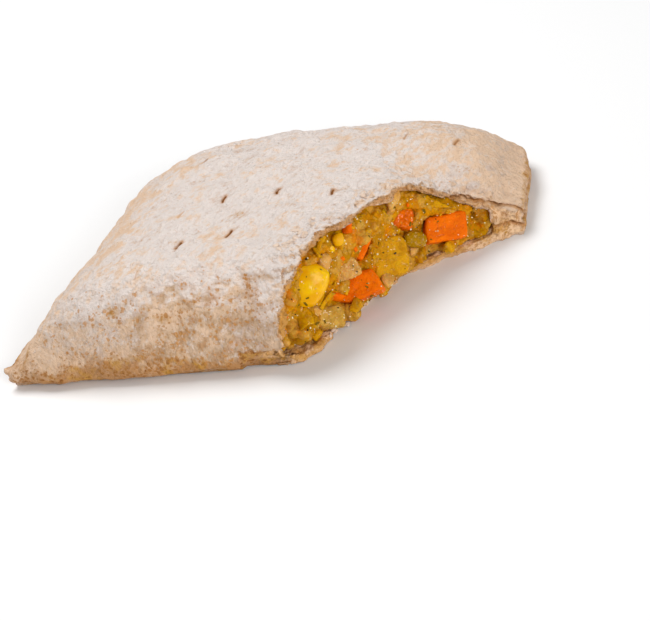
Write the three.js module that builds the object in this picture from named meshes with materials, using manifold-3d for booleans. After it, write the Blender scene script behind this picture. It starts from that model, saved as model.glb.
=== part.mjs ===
// A baked vegetable patty, broken open at its right front: a folded pastry crust and its filling.
// Millimetres, +Z up, flat on the floor. X runs along the fold, which is at the front, and the sealed
// edge goes round the left side, the back and the right side.
import * as THREE from "three";
import { mergeVertices } from "three/addons/utils/BufferGeometryUtils.js";
import Module from "manifold-3d";

const wasm = await Module();
wasm.setup();

// Plan of the whole patty
const DEPTH = 91; // fold to back edge
const FLARE_FADE = 14; // how far up its side the flare of a fold corner reaches
// Each side: reach at the fold, how fast it draws in towards the back, the flare of its pointed
// fold corner, the radii of its back corner, and how far in the dome takes to rise from it
const LEFT = { side: -1, reach: 73.3, slope: 0.178, flare: 4.3, cornerX: 35, cornerY: 36, rise: 9.8 };
const RIGHT = { side: 1, reach: 47.25, slope: 0.03, flare: 0, cornerX: 13.7, cornerY: 13.7, rise: 7.6 };
const PLAN_MIDDLE = new THREE.Vector2(-14, DEPTH * 0.45);
const OUTLINE_POINTS = 84;

// Heights
const CROWN = 27.2; // top of the dome
const EDGE_THICKNESS = 6.8; // the two pastry layers pressed together
const EDGE_WIDTH = 2.1; // flat pressed band
const BACK_RISE = 9.8;
const CREST_AT = 55; // distance from an edge where the dome has its full height
const FOLD_ROUND = 14.6; // depth of the rolled front wall
const FOLD_MIDDLE = 3.4; // height where the rolled wall stands plumb
const FOLD_EDGE = 0.9;
const BOTTOM_ROUND = 4.5;
// The edge's wall from top to bottom: share of its height, and how far it stands out. The dip
// between is the seam of the two layers.
const WALL_ROWS = [
  { up: 0.87, out: 0 },
  { up: 0.62, out: 0.25 },
  { up: 0.5, out: -0.8 },
  { up: 0.38, out: 0.25 },
  { up: 0.13, out: 0 },
];
const EDGE_EASE = 0.8; // rounding where the wall meets the top and the bottom
const FOLD_EASE = 0.3;

// Pastry and what it holds
const PASTRY = 2.6;
const BOTTOM_PASTRY = 1.9;
const SEALED_INSET = 8; // solid pastry from the edge to the hollow
const GAP = 0.92; // filling to pastry
const POCKET_GAP = 0.35; // pieces to filling
const HOLLOW_POINTS = 64;
const THINNEST_HOLLOW = 1.2;

// The broken face, in its own frame: u along the break, n out of it, z up
const BREAK_START = -8.6; // where it crosses the fold
const BREAK_ANGLE = THREE.MathUtils.degToRad(57.4);
const BREAK_OUT = 0.9; // at the fold
const BEND_AT = 49; // from here it turns towards the right edge
const BEND_SLOPE = 0.6;
const BEND_SOFTNESS = 3;
const LIP = { out: 1.1, low: 1, fade: 2.5, from: 3, over: 4 }; // the bottom pastry stands out
const BITE = { depth: 8.5, at: -3, width: 4.5, low: 2, fade: 7 }; // gone from the front bottom corner
const TAG = { out: 1.6, at: 43.5, width: 2.2, high: 20, fade: 5 }; // a torn tag of top pastry
const UNDERCUT = { depth: 1.6, high: 17, fade: 8 }; // the filling draws back under the top pastry
const PIT = { depth: 4, at: 68, width: 2.6, up: 8, height: 4 }; // a dark hole at its right end
const FILLING_IN = 0.6;
// The top pastry sags towards the break near its right end
const SAG = { depth: 8, at: 63.5, width: 9, reach: 16 };
// A crease beside the left edge, near the fold corner
const CREASE = { depth: 1.1, in: 5.2, width: 2, at: 17, length: 15 };

// Uneven surfaces are sums of waves: height, lengths in the two directions, and start.
const TOP_WAVES = [
  { height: 0.28, along: 11, across: -13, start: 1.07 },
  { height: -0.28, along: 11, across: 13, start: 3.27 },
  { height: 0.15, along: 3.46, across: -12.9, start: 3.57 },
  { height: -0.15, along: 6.85, across: 3.34, start: 3.57 },
];
const PASTRY_CRAGS = [
  { height: 0.4, along: 1.9, across: 2.4, start: 0 },
  { height: 0.3, along: 0.83, across: -1.3, start: 1 },
  { height: 0.25, along: 3, across: 0.48, start: 0 },
];
const FILLING_LUMPS = [
  { height: 0.35, along: 3.43, across: -1.9, start: 2.87 },
  { height: -0.35, along: 1.73, across: 1.9, start: 2.87 },
  { height: 0.4, along: 1.2, across: 1.1, start: 0 },
];

// The block that cuts away what is in front of a broken face
const CUT = { left: -30, right: 115, low: -4, high: CROWN + 6, far: 150 };
const PASTRY_CUT_GRID = { across: 96, up: 20 };
const FILLING_CUT_GRID = { across: 60, up: 14 };

// Steam holes pricked through the top
const HOLE = { length: 3.4, width: 1.1, depth: 2.2, turn: -0.25, turnChange: 0.12 };

const rings = (n, power) => Array.from({ length: n + 1 }, (_, i) => 1 - (1 - i / n) ** power);
const clamp01 = (t) => Math.min(1, Math.max(0, t));
const smooth = (t) => clamp01(t) ** 2 * (3 - 2 * clamp01(t));
const hump = (t, middle, width) => Math.exp(-(((t - middle) / width) ** 2));
const waves = (list, a, b) =>
  list.reduce((sum, w) => sum + w.height * Math.sin(a / w.along + b / w.across + w.start), 0);

// Solids

function solidOf(geometry) {
  const bare = geometry.clone();
  bare.deleteAttribute("normal");
  bare.deleteAttribute("uv");
  const merged = mergeVertices(bare, 1e-5);
  return new wasm.Manifold(
    new wasm.Mesh({
      numProp: 3,
      vertProperties: new Float32Array(merged.attributes.position.array),
      triVerts: new Uint32Array(merged.index.array),
    }),
  );
}

function geometryOf(solid) {
  const mesh = solid.getMesh();
  const geometry = new THREE.BufferGeometry();
  geometry.setAttribute("position", new THREE.BufferAttribute(new Float32Array(mesh.vertProperties), 3));
  geometry.setIndex(new THREE.BufferAttribute(new Uint32Array(mesh.triVerts), 1));
  geometry.computeVertexNormals();
  return geometry;
}

function largestBody(solid) {
  const bodies = solid.decompose();
  bodies.sort((a, b) => b.volume() - a.volume());
  return bodies[0];
}

// A closed mesh of stacked rings, each a list of points, with a single point at each end.
function ringMesh(first, ringList, last) {
  const count = ringList[0].length;
  const points = [first, ...ringList.flat(), last];
  const faces = [];
  const at = (ring, i) => 1 + ring * count + (i % count);
  for (let i = 0; i < count; i++) {
    faces.push(0, at(0, i), at(0, i + 1));
    faces.push(points.length - 1, at(ringList.length - 1, i + 1), at(ringList.length - 1, i));
    for (let ring = 0; ring < ringList.length - 1; ring++) {
      faces.push(at(ring, i), at(ring + 1, i), at(ring + 1, i + 1));
      faces.push(at(ring, i), at(ring + 1, i + 1), at(ring, i + 1));
    }
  }
  const geometry = new THREE.BufferGeometry();
  geometry.setAttribute("position", new THREE.Float32BufferAttribute(points.flat(), 3));
  geometry.setIndex(faces);
  return geometry;
}

// Outline

// How far a back corner's rounding draws the side in at y
function cornerInset(edge, y) {
  const k = clamp01((y - DEPTH + edge.cornerY) / edge.cornerY);
  return edge.cornerX * (1 - Math.sqrt(1 - k * k));
}

function edgeX(edge, y) {
  const reach = edge.reach - edge.slope * y + edge.flare * Math.exp(-y / FLARE_FADE);
  return edge.side * (reach - cornerInset(edge, y));
}

function sealedSide(edge) {
  const straight = DEPTH - edge.cornerY;
  const heights = [];
  for (let y = 0; y < straight; y += 3) heights.push(y);
  for (let t = 0; t <= 90; t += 6) {
    heights.push(straight + edge.cornerY * Math.sin(THREE.MathUtils.degToRad(t)));
  }
  return heights.map((y) => new THREE.Vector2(edgeX(edge, y), y));
}

// Counter-clockwise from the right end of the fold to its left end
const sealedLine = [...sealedSide(RIGHT), ...sealedSide(LEFT).reverse()];

function resample(line, count) {
  const closed = [...line, line[0]];
  const lengths = closed.slice(1).map((p, i) => p.distanceTo(closed[i]));
  const whole = lengths.reduce((a, b) => a + b, 0);
  const out = [];
  let segment = 0;
  let passed = 0;
  for (let i = 0; i < count; i++) {
    const target = (whole * i) / count;
    while (passed + lengths[segment] < target) passed += lengths[segment++];
    out.push(closed[segment].clone().lerp(closed[segment + 1], (target - passed) / lengths[segment]));
  }
  return out;
}

const inwards = (line, i) => {
  const next = line[(i + 1) % line.length];
  const last = line[(i + line.length - 1) % line.length];
  const along = next.clone().sub(last).normalize();
  return new THREE.Vector2(-along.y, along.x);
};

const movedIn = (line, by) => line.map((p, i) => p.clone().addScaledVector(inwards(line, i), by));

// The hollow's outline: far inside the sealed edge, and a pastry's thickness inside the fold
function hollowOutline() {
  const inner = sealedLine.map((p, i) => {
    const before = sealedLine[Math.max(i - 1, 0)];
    const after = sealedLine[Math.min(i + 1, sealedLine.length - 1)];
    const along = after.clone().sub(before).normalize();
    return p.clone().add(new THREE.Vector2(-along.y, along.x).multiplyScalar(SEALED_INSET));
  });
  const foldEnd = (edge) => new THREE.Vector2(edgeX(edge, PASTRY) - edge.side * SEALED_INSET, PASTRY);
  const kept = inner.filter((p) => p.y > PASTRY + 1);
  return resample([foldEnd(RIGHT), ...kept, foldEnd(LEFT)], HOLLOW_POINTS);
}

// The break's frame and its line over the plan

const breakFrame = new THREE.Group();
breakFrame.position.set(BREAK_START, 0, 0);
breakFrame.rotation.z = BREAK_ANGLE; // local X is u, local -Y is n
breakFrame.updateMatrixWorld(true);

function breakLine(u) {
  const past = (u - BEND_AT) / BEND_SOFTNESS;
  return BREAK_OUT + BEND_SLOPE * BEND_SOFTNESS * Math.log(1 + Math.exp(past));
}

function besideBreak(x, y) {
  const p = breakFrame.worldToLocal(new THREE.Vector3(x, y, 0));
  return { u: p.x, behind: breakLine(p.x) + p.y };
}

// Heights over the plan; inset is how far below the outer skin the surface runs

// Share of the full height at a distance from an edge
function riseFrom(distance, rise) {
  const share = (d) => 1 - Math.exp(-Math.max(d - EDGE_WIDTH, 0) / rise);
  return share(distance) / share(CREST_AT);
}

function dome(x, y) {
  const left = riseFrom(x - edgeX(LEFT, y), LEFT.rise);
  const right = riseFrom(edgeX(RIGHT, y) - x, RIGHT.rise);
  return left * right * riseFrom(DEPTH - y, BACK_RISE);
}

function sag(x, y) {
  const { u, behind } = besideBreak(x, y);
  return SAG.depth * hump(u, SAG.at, SAG.width) * hump(Math.max(behind, 0), 0, SAG.reach);
}

function crease(x, y) {
  const across = hump(x - edgeX(LEFT, y), CREASE.in, CREASE.width);
  return CREASE.depth * across * hump(y, CREASE.at, CREASE.length);
}

function topHeight(x, y, inset) {
  const rise = dome(x, y);
  const full = EDGE_THICKNESS + (CROWN - EDGE_THICKNESS + waves(TOP_WAVES, x, y)) * rise;
  const flat = Math.max(full - sag(x, y) - crease(x, y), Math.min(full, EDGE_THICKNESS + 0.5));
  const f = clamp01((y - inset) / (FOLD_ROUND - inset));
  const rolled = Math.sqrt(1 - (1 - f) ** 2);
  const start = FOLD_MIDDLE + FOLD_EDGE - inset / 4;
  return start + (flat - inset - start) * rolled;
}

function bottomHeight(y, inset, foldInset) {
  const f = clamp01((y - foldInset) / BOTTOM_ROUND);
  const rolled = Math.sqrt(1 - (1 - f) ** 2);
  const start = FOLD_MIDDLE - FOLD_EDGE + inset / 2;
  return start + (inset - start) * rolled;
}

// Crust: the outer skin, before the hollow and the break are cut

function outerSkin() {
  const outline = resample(sealedLine, OUTLINE_POINTS);
  const top = (p) => [p.x, p.y, topHeight(p.x, p.y, 0)];
  const bottom = (p) => [p.x, p.y, bottomHeight(p.y, 0, 0)];
  const isFold = (p) => p.y < 1;
  const ringAt = (s) => outline.map((p) => PLAN_MIDDLE.clone().lerp(p, s));
  const topRings = rings(12, 1.6).slice(1, -1).map((s) => ringAt(s).map(top));
  const bottomRings = [0.93, 0.5].map((s) => ringAt(s).map(bottom));
  const wall = WALL_ROWS.map((row) =>
    outline.map((p, i) => {
      const moved = p.clone().addScaledVector(inwards(outline, i), isFold(p) ? 0 : -row.out);
      const low = bottomHeight(p.y, 0, 0);
      const high = isFold(p) ? FOLD_MIDDLE + FOLD_EDGE : EDGE_THICKNESS;
      return [moved.x, moved.y, low + (high - low) * row.up];
    }),
  );
  const eased = outline.map((p, i) =>
    p.clone().addScaledVector(inwards(outline, i), isFold(p) ? FOLD_EASE : EDGE_EASE),
  );
  const list = [...topRings, eased.map(top), ...wall, eased.map(bottom), ...bottomRings];
  return solidOf(ringMesh(top(PLAN_MIDDLE), list, bottom(PLAN_MIDDLE)));
}

// The hollow, or the room for the filling when it is drawn in by a gap
function inside(gap) {
  const outline = movedIn(hollowOutline(), gap);
  const low = (p) => bottomHeight(p.y, BOTTOM_PASTRY + gap, PASTRY + gap);
  const high = (p) => topHeight(p.x, p.y, PASTRY + gap);
  const top = (p) => [p.x, p.y, Math.max(high(p), low(p) + THINNEST_HOLLOW - gap)];
  const bottom = (p) => [p.x, p.y, low(p)];
  const ringAt = (s) => outline.map((p) => PLAN_MIDDLE.clone().lerp(p, s));
  const topRings = rings(7, 1.4).slice(1).map((s) => ringAt(s).map(top));
  const bottomRings = [1, 0.93, 0.5].map((s) => ringAt(s).map(bottom));
  return solidOf(ringMesh(top(PLAN_MIDDLE), [...topRings, ...bottomRings], bottom(PLAN_MIDDLE)));
}

// Break

// Torn pastry: crags, a lip at the bottom, and a bite out of the front bottom corner
function pastryBreak(u, z) {
  const lip = LIP.out * (1 - smooth((z - LIP.low) / LIP.fade)) * smooth((u - LIP.from) / LIP.over);
  const bite = BITE.depth * hump(u, BITE.at, BITE.width) * (1 - smooth((z - BITE.low) / BITE.fade));
  const tag = TAG.out * hump(u, TAG.at, TAG.width) * smooth((z - TAG.high) / TAG.fade);
  return breakLine(u) + waves(PASTRY_CRAGS, u, z) + lip - bite + tag;
}

// The filling's face: lumps, drawn back under the top pastry and into a pit at its right end
function fillingFace(u, z) {
  const undercut = UNDERCUT.depth * smooth((z - UNDERCUT.high) / UNDERCUT.fade);
  const pit = PIT.depth * hump(u, PIT.at, PIT.width) * hump(z, PIT.up, PIT.height);
  return breakLine(u) - FILLING_IN + waves(FILLING_LUMPS, u, z) - undercut - pit;
}

// Everything in front of a face, as a block to cut away
function inFrontOf(face, grid) {
  const points = [];
  for (const far of [false, true]) {
    for (let j = 0; j <= grid.up; j++) {
      for (let i = 0; i <= grid.across; i++) {
        const u = CUT.left + ((CUT.right - CUT.left) * i) / grid.across;
        const z = CUT.low + ((CUT.high - CUT.low) * j) / grid.up;
        points.push([u, far ? -CUT.far : -face(u, z), z]);
      }
    }
  }
  const row = grid.across + 1;
  const sheet = row * (grid.up + 1);
  const faces = [];
  const quad = (a, b, c, d) => faces.push(a, b, c, a, c, d);
  for (let j = 0; j < grid.up; j++) {
    for (let i = 0; i < grid.across; i++) {
      const a = j * row + i;
      quad(a, a + row, a + row + 1, a + 1);
      quad(sheet + a, sheet + a + 1, sheet + a + row + 1, sheet + a + row);
    }
    const left = j * row;
    const right = left + grid.across;
    quad(left, sheet + left, sheet + left + row, left + row);
    quad(right, right + row, sheet + right + row, sheet + right);
  }
  for (let i = 0; i < grid.across; i++) {
    const low = i;
    const high = grid.up * row + i;
    quad(low, low + 1, sheet + low + 1, sheet + low);
    quad(high, sheet + high, sheet + high + 1, high + 1);
  }
  const geometry = new THREE.BufferGeometry();
  geometry.setAttribute("position", new THREE.Float32BufferAttribute(points.flat(), 3));
  geometry.setIndex(faces);
  return solidOf(geometry.applyMatrix4(breakFrame.matrixWorld));
}

// Pieces of vegetable. Sizes are across (u), in (into the patty) and up.

function reshape(geometry, move) {
  const position = geometry.attributes.position;
  const p = new THREE.Vector3();
  for (let i = 0; i < position.count; i++) {
    p.fromBufferAttribute(position, i);
    move(p);
    position.setXYZ(i, p.x, p.y, p.z);
  }
  return geometry;
}

// A knife-cut dice: flat faces, rounded edges, no two alike
function dice(size, skew, grow) {
  const g = new THREE.BoxGeometry(2, 2, 2, 3, 3, 3);
  return reshape(g, (p) => {
    const round = p.clone().normalize().multiplyScalar(1.42);
    p.lerp(round, 0.34);
    const lean = 1 + skew * p.z * 0.5;
    p.x = p.x * (size[0] / 2 + grow) * lean + skew * p.y;
    p.y = p.y * (size[1] / 2 + grow) * (1 - skew * p.x * 0.05);
    p.z = p.z * (size[2] / 2 + grow);
  });
}

// A rounded piece: a bean, a bit of onion, a lump of potato
function pebble(size, skew, grow) {
  const g = new THREE.SphereGeometry(1, 12, 8);
  return reshape(g, (p) => {
    p.set(Math.sign(p.x) * Math.abs(p.x) ** 0.85, p.y, Math.sign(p.z) * Math.abs(p.z) ** 0.85);
    p.x = p.x * (size[0] / 2 + grow) + skew * (p.y * p.y - 0.3);
    p.y *= size[1] / 2 + grow;
    p.z *= size[2] / 2 + grow;
  });
}

// A sweetcorn kernel: broad crown at the top, flat sides, narrow root
function kernel(size, skew, grow) {
  const g = new THREE.SphereGeometry(1, 14, 10).rotateX(Math.PI / 2);
  return reshape(g, (p) => {
    const root = clamp01(0.5 - p.z / 2);
    p.x = p.x * (size[0] / 2 + grow) * (1 - 0.4 * root ** 1.5) + skew * p.z * p.z;
    p.y *= (size[1] / 2 + grow) * (1 - 0.2 * root);
    p.z *= size[2] / 2 + grow;
  });
}

// A strip of cabbage or onion: thin, bent along its length
function strip(size, bend, grow) {
  const g = new THREE.BoxGeometry(2, 2, 2, 7, 1, 2);
  return reshape(g, (p) => {
    const taper = 1 - 0.35 * p.x * p.x;
    const arch = bend * (1 - p.x * p.x);
    p.z = p.z * (size[2] / 2) * taper + p.z * grow + arch;
    p.y = p.y * (size[1] / 2 + grow) + 0.3 * Math.sin(p.x * 2.5);
    p.x *= size[0] / 2 + grow;
  });
}

const CARROT = { colour: 0xe8680c, roughness: 0.35 };
const SWEETCORN = { colour: 0xf2bd12, roughness: 0.25 };
const POTATO = { colour: 0xcf9f33, roughness: 0.4 };
const ONION = { colour: 0xc7964a, roughness: 0.3 };
const GREEN = { colour: 0xa08a1c, roughness: 0.35 };

// at is u, n, z in the break's frame; turn is degrees about across, in and up
const pieces = [
  {
    name: "sweetcorn_kernel",
    shape: kernel,
    size: [7.8, 5.2, 10.6],
    skew: 0.4,
    at: [14.8, 0.9, 16.6],
    turn: [3, 44, -52],
    look: SWEETCORN,
  },
  {
    name: "carrot_front",
    shape: dice,
    size: [11, 5.6, 6.2],
    skew: 0.05,
    at: [29.1, 1.8, 7.2],
    turn: [-41, 19, -39],
    look: CARROT,
  },
  {
    name: "carrot_right",
    shape: dice,
    size: [10.6, 5, 6.5],
    skew: -0.05,
    at: [57.2, 5.9, 8.5],
    turn: [-26, 25, -22],
    look: CARROT,
  },
  {
    name: "carrot_rough",
    shape: dice,
    size: [5.6, 4, 5.6],
    skew: 0.1,
    at: [48.6, 0.4, 15.4],
    turn: [-19, 43, -38],
    look: CARROT,
  },
  {
    name: "carrot_slice",
    shape: dice,
    size: [6.2, 4.4, 2],
    skew: 0.1,
    at: [35.1, -0.9, 13.6],
    turn: [-56, -23, -18],
    look: CARROT,
  },
  {
    name: "potato_slab",
    shape: dice,
    size: [8.2, 4, 9.4],
    skew: 0.05,
    at: [41, 1.2, 8.6],
    turn: [-27, 27, -26],
    look: POTATO,
  },
  {
    name: "potato_lump",
    shape: dice,
    size: [6.2, 4, 4.8],
    skew: 0.08,
    at: [17.9, 1.7, 5.5],
    turn: [-31, 33, -33],
    look: POTATO,
  },
  {
    name: "green_bean",
    shape: pebble,
    size: [5.2, 3.4, 3.8],
    skew: 0.2,
    at: [48.3, 4.1, 10.1],
    turn: [-11, 35, -43],
    look: GREEN,
  },
  {
    name: "onion_piece",
    shape: pebble,
    size: [6.2, 3.2, 4.8],
    skew: 0.3,
    at: [27.2, 0.6, 13.3],
    turn: [-31, 11, -35],
    look: ONION,
  },
  {
    name: "cabbage_strip",
    shape: strip,
    size: [10, 2.8, 1.5],
    skew: 0.6,
    at: [57, 4.7, 15.2],
    turn: [-5, 39, -47],
    look: GREEN,
  },
];

// Smaller lumps in the mash, fused to it: u, n, z and radius
const mashLumps = [
  [8.6, 0.6, 6.6, 2.1],
  [11.8, 0.5, 8.8, 2.5],
  [14.4, 0.4, 9.4, 1.9],
  [18, 0.6, 10.8, 2],
  [16.7, -0.6, 22.4, 2],
  [21.8, -0.6, 18.2, 2.6],
  [22.4, -0.8, 22.6, 1.8],
  [27.3, -0.4, 21.4, 1.7],
  [31.8, -0.6, 21.8, 1.7],
  [24.6, 0.2, 9.4, 2],
  [34.6, -0.4, 18, 2.2],
  [40.4, -0.6, 19.4, 2.6],
  [47.1, -0.4, 21, 2.4],
  [35.4, 1.6, 4.6, 1.9],
  [24.4, 1.4, 4.4, 1.8],
  [50.4, 2.6, 4.8, 2],
  [56.9, 5.8, 4.2, 1.9],
];

function mashLump([u, n, z, r], index) {
  const g = new THREE.SphereGeometry(r, 8, 5).scale(1 + 0.15 * Math.sin(index * 2), 1, 0.9);
  const placed = new THREE.Matrix4().makeTranslation(u, -n, z).premultiply(breakFrame.matrixWorld);
  return solidOf(g.rotateZ(index).applyMatrix4(placed));
}

function materialOf(look) {
  return new THREE.MeshStandardMaterial({ color: look.colour, roughness: look.roughness, metalness: 0 });
}

function namedMesh(name, geometry, look) {
  const mesh = new THREE.Mesh(geometry, materialOf(look));
  mesh.name = name;
  return mesh;
}

function pieceMesh(piece, grow) {
  const mesh = namedMesh(piece.name, piece.shape(piece.size, piece.skew, grow), piece.look);
  const [u, n, z] = piece.at;
  mesh.position.set(u, -n, z);
  mesh.rotation.set(...piece.turn.map(THREE.MathUtils.degToRad));
  return mesh;
}

function placedSolid(mesh) {
  breakFrame.add(mesh);
  mesh.updateMatrixWorld(true);
  const solid = solidOf(mesh.geometry.clone().applyMatrix4(mesh.matrixWorld));
  mesh.removeFromParent();
  return solid;
}

// The steam holes' places, across and back
const holes = [
  [-33, 58.3],
  [-10, 38.8],
  [-23.4, 37.2],
  [-33.3, 31.8],
  [-19.2, 21.7],
  [-31.2, 18.7],
  [-40.2, 9.8],
  [4.1, 36.2],
  [17.8, 64.1],
  [30.3, 64.4],
];

function steamHole([x, y], index) {
  const g = new THREE.SphereGeometry(1, 8, 6).scale(HOLE.width / 2, HOLE.length / 2, HOLE.depth);
  g.rotateZ(HOLE.turn + HOLE.turnChange * Math.sin(index));
  return solidOf(g.translate(x, y, topHeight(x, y, 0) + 0.2));
}

function makeCrust() {
  let crust = outerSkin().subtract(inside(0));
  crust = crust.subtract(inFrontOf(pastryBreak, PASTRY_CUT_GRID));
  holes.forEach((hole, i) => {
    crust = crust.subtract(steamHole(hole, i));
  });
  return largestBody(crust);
}

function makeFilling() {
  const room = inside(GAP);
  let filling = room.subtract(inFrontOf(fillingFace, FILLING_CUT_GRID));
  mashLumps.forEach((lump, i) => {
    filling = filling.add(mashLump(lump, i).intersect(room));
  });
  pieces.forEach((piece) => {
    filling = filling.subtract(placedSolid(pieceMesh(piece, POCKET_GAP)));
  });
  return largestBody(filling);
}

const patty = new THREE.Group();
patty.name = "patty";
patty.add(namedMesh("crust", geometryOf(makeCrust()), { colour: 0xe3cdb9, roughness: 0.9 }));
patty.add(namedMesh("filling", geometryOf(makeFilling()), { colour: 0xc88d1a, roughness: 0.4 }));
patty.add(breakFrame);
pieces.forEach((piece) => breakFrame.add(pieceMesh(piece, 0)));

// The origin is on the floor under the middle of the object.
const reach = new THREE.Box3().setFromObject(patty);
const middle = reach.getCenter(new THREE.Vector3());
patty.position.set(-middle.x, -middle.y, -reach.min.z);

const object = new THREE.Group();
object.add(patty);

export default object;
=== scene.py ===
# Dresses the broken vegetable patty: pastry crust, mashed filling, vegetable pieces and small bits.
import math
import random
from collections import namedtuple

import bmesh
import bpy
import numpy as np
from bpy.props import FloatProperty, FloatVectorProperty, IntProperty, PointerProperty
from mathutils import Matrix, Vector
from mathutils.bvhtree import BVHTree
from mathutils.noise import noise, voronoi


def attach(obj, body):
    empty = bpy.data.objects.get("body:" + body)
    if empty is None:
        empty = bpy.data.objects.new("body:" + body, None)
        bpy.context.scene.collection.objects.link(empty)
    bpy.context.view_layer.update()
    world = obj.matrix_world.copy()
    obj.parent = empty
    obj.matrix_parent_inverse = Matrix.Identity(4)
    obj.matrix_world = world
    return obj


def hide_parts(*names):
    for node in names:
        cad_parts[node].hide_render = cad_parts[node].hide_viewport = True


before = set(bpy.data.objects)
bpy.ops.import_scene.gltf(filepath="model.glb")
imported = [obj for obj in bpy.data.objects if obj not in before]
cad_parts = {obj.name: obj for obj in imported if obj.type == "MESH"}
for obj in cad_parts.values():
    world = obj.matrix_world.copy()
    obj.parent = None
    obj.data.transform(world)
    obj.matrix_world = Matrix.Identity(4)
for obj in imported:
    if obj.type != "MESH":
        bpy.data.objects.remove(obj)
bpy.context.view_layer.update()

bl_info = {
    "name": "Broken Vegetable Patty",
    "version": (1, 0, 0),
    "blender": (4, 5, 0),
    "location": "3D View > Sidebar > Patty",
    "description": "Pastry, filling and vegetable pieces of a baked patty that is broken open",
    "category": "Object",
}

MM = 0.001

# The plan, in millimetres: x along the fold, y from the fold to the back edge
PLAN_ORIGIN = Vector((15.673, -45.625, 0))
DEPTH = 91
LEFT_EDGE = {"side": -1, "reach": 73.3, "slope": 0.178, "flare": 4.3, "corner_x": 35, "corner_y": 36}
RIGHT_EDGE = {"side": 1, "reach": 47.25, "slope": 0.03, "flare": 0, "corner_x": 13.7, "corner_y": 13.7}
FLARE_FADE = 14

# The broken face: u along it, n out of it, z up, in millimetres
BREAK_START = -8.6
BREAK_ANGLE = math.radians(57.4)
BREAK_OUT = 0.9
BEND_AT = 49
BEND_SLOPE = 0.6
BEND_SOFTNESS = 3
BREAK_FRAME = (
    Matrix.Translation((PLAN_ORIGIN + Vector((BREAK_START, 0, 0))) * MM)
    @ Matrix.Rotation(BREAK_ANGLE, 4, "Z")
)
ALONG = np.array([math.cos(BREAK_ANGLE), math.sin(BREAK_ANGLE), 0])
OUTWARD = np.array([math.sin(BREAK_ANGLE), -math.cos(BREAK_ANGLE), 0])

# Steam slits: across and back. They cut only pastry above a height, and the faint ones cut less deep
SLITS = [
    (-33, 58.3),
    (-10, 38.8),
    (-23.4, 37.2),
    (-33.3, 31.8),
    (-19.2, 21.7),
    (-31.2, 18.7),
    (-40.2, 9.8),
    (4.1, 36.2),
    (17.8, 64.1),
    (30.3, 64.4),
]
SLIT_FLOOR = 8
SLIT_CLEARANCE = 3
SLIT_TURN = -0.25
SLIT_TURN_CHANGE = 0.12
SLIT_WIDTH = 0.42
SLIT_WIDTH_CHANGE = 0.07
FAINT_SLITS = {0: 0.75, 3: 0.4, 6: 0.35, 8: 0.45, 9: 0.7}

# How far from its middle a slit, or the dent round it, ends and is at its full depth
SLIT_ENDS = (2.1, 1.2)
DENT_ENDS = (3.1, 1.4)

# The crust's hidden inner side: how near the filling it is, and how far behind the break it starts
HOLLOW_GAP = 1.6
HOLLOW_START = 2

# Height up to which the underside rests on the floor and stays flat
RESTING = 0.5

# The torn face: how far behind the break the tear reaches, how thick a layer of dough is, and where along
# the break the right end begins and where it is full
TEAR_REACH = 9
LAYER = 0.62
RIGHT_END = (58, 66)

# Partings between the layers of dough at the right end: from and to, along the break and up
PARTINGS = [
    ((56, 17.4), (67, 12.4)),
    ((67.5, 11.8), (76, 4.6)),
    ((69.5, 13.6), (77.5, 8.6)),
    ((65.5, 5.4), (74.5, 1.5)),
]

# Browner clouds on the front of the fold: across and up, how wide, how high and how brown
BROWNED = [
    (-33, 16.4, 5, 2.6, 0.6),
    (-12.4, 20, 3, 3.4, 0.5),
    (-22.5, 19.5, 3.4, 2, 0.4),
    (-46, 17.5, 3, 2, 0.3),
]

# Where the outer skin has flaked off the fold beside the break: left end and top, how they slant, and half
# the width of the edge
PEEL_LEFT = -17.5
PEEL_TOP = 7.3
PEEL_TOP_SLANT = 0.2
PEEL_STEP_SLANT = 0.43
PEEL_EDGE = 0.14

# How much is gone: in a slit, on the flaked patch, on its thin step and in a parting
SLIT_DEPTH = 0.75
PEEL_DEPTH = 0.65
STEP_DEPTH = 0.14
PARTING_DEPTH = 1.3

# Pits carved in the mash and darkened with painted shade: along and up, how wide, how high and how deep
PITS = [(65.4, 8.8, 1.7, 3.4, 2.6), (6.2, 8.6, 1.2, 3.2, 2.6)]

# Half-sunk crumbs on the crust beside the break: across, back, spread and how many, above a height
CRUMB_PATCHES = [
    (-1.5, 17.9, 3, 16),
    (-4, 13.2, 2.4, 14),
    (1.5, 21.5, 2, 8),
    (11, 34.6, 2.4, 9),
    (17, 38.6, 2.4, 8),
]
CRUMB_FLOOR = 8
CRUMB_SIZES = (0.7, 2.2)
DROP_HEIGHT = 60

# Loose crumbs on the bottom lip: how many, their sizes, and from and to along, out and up on the break
LIP_CRUMBS = 7
LIP_CRUMB_SIZES = (0.8, 2.1)
LIP_CRUMB_SPANS = ((15.5, 23), (1.4, 3), (0.8, 2.4))

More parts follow.
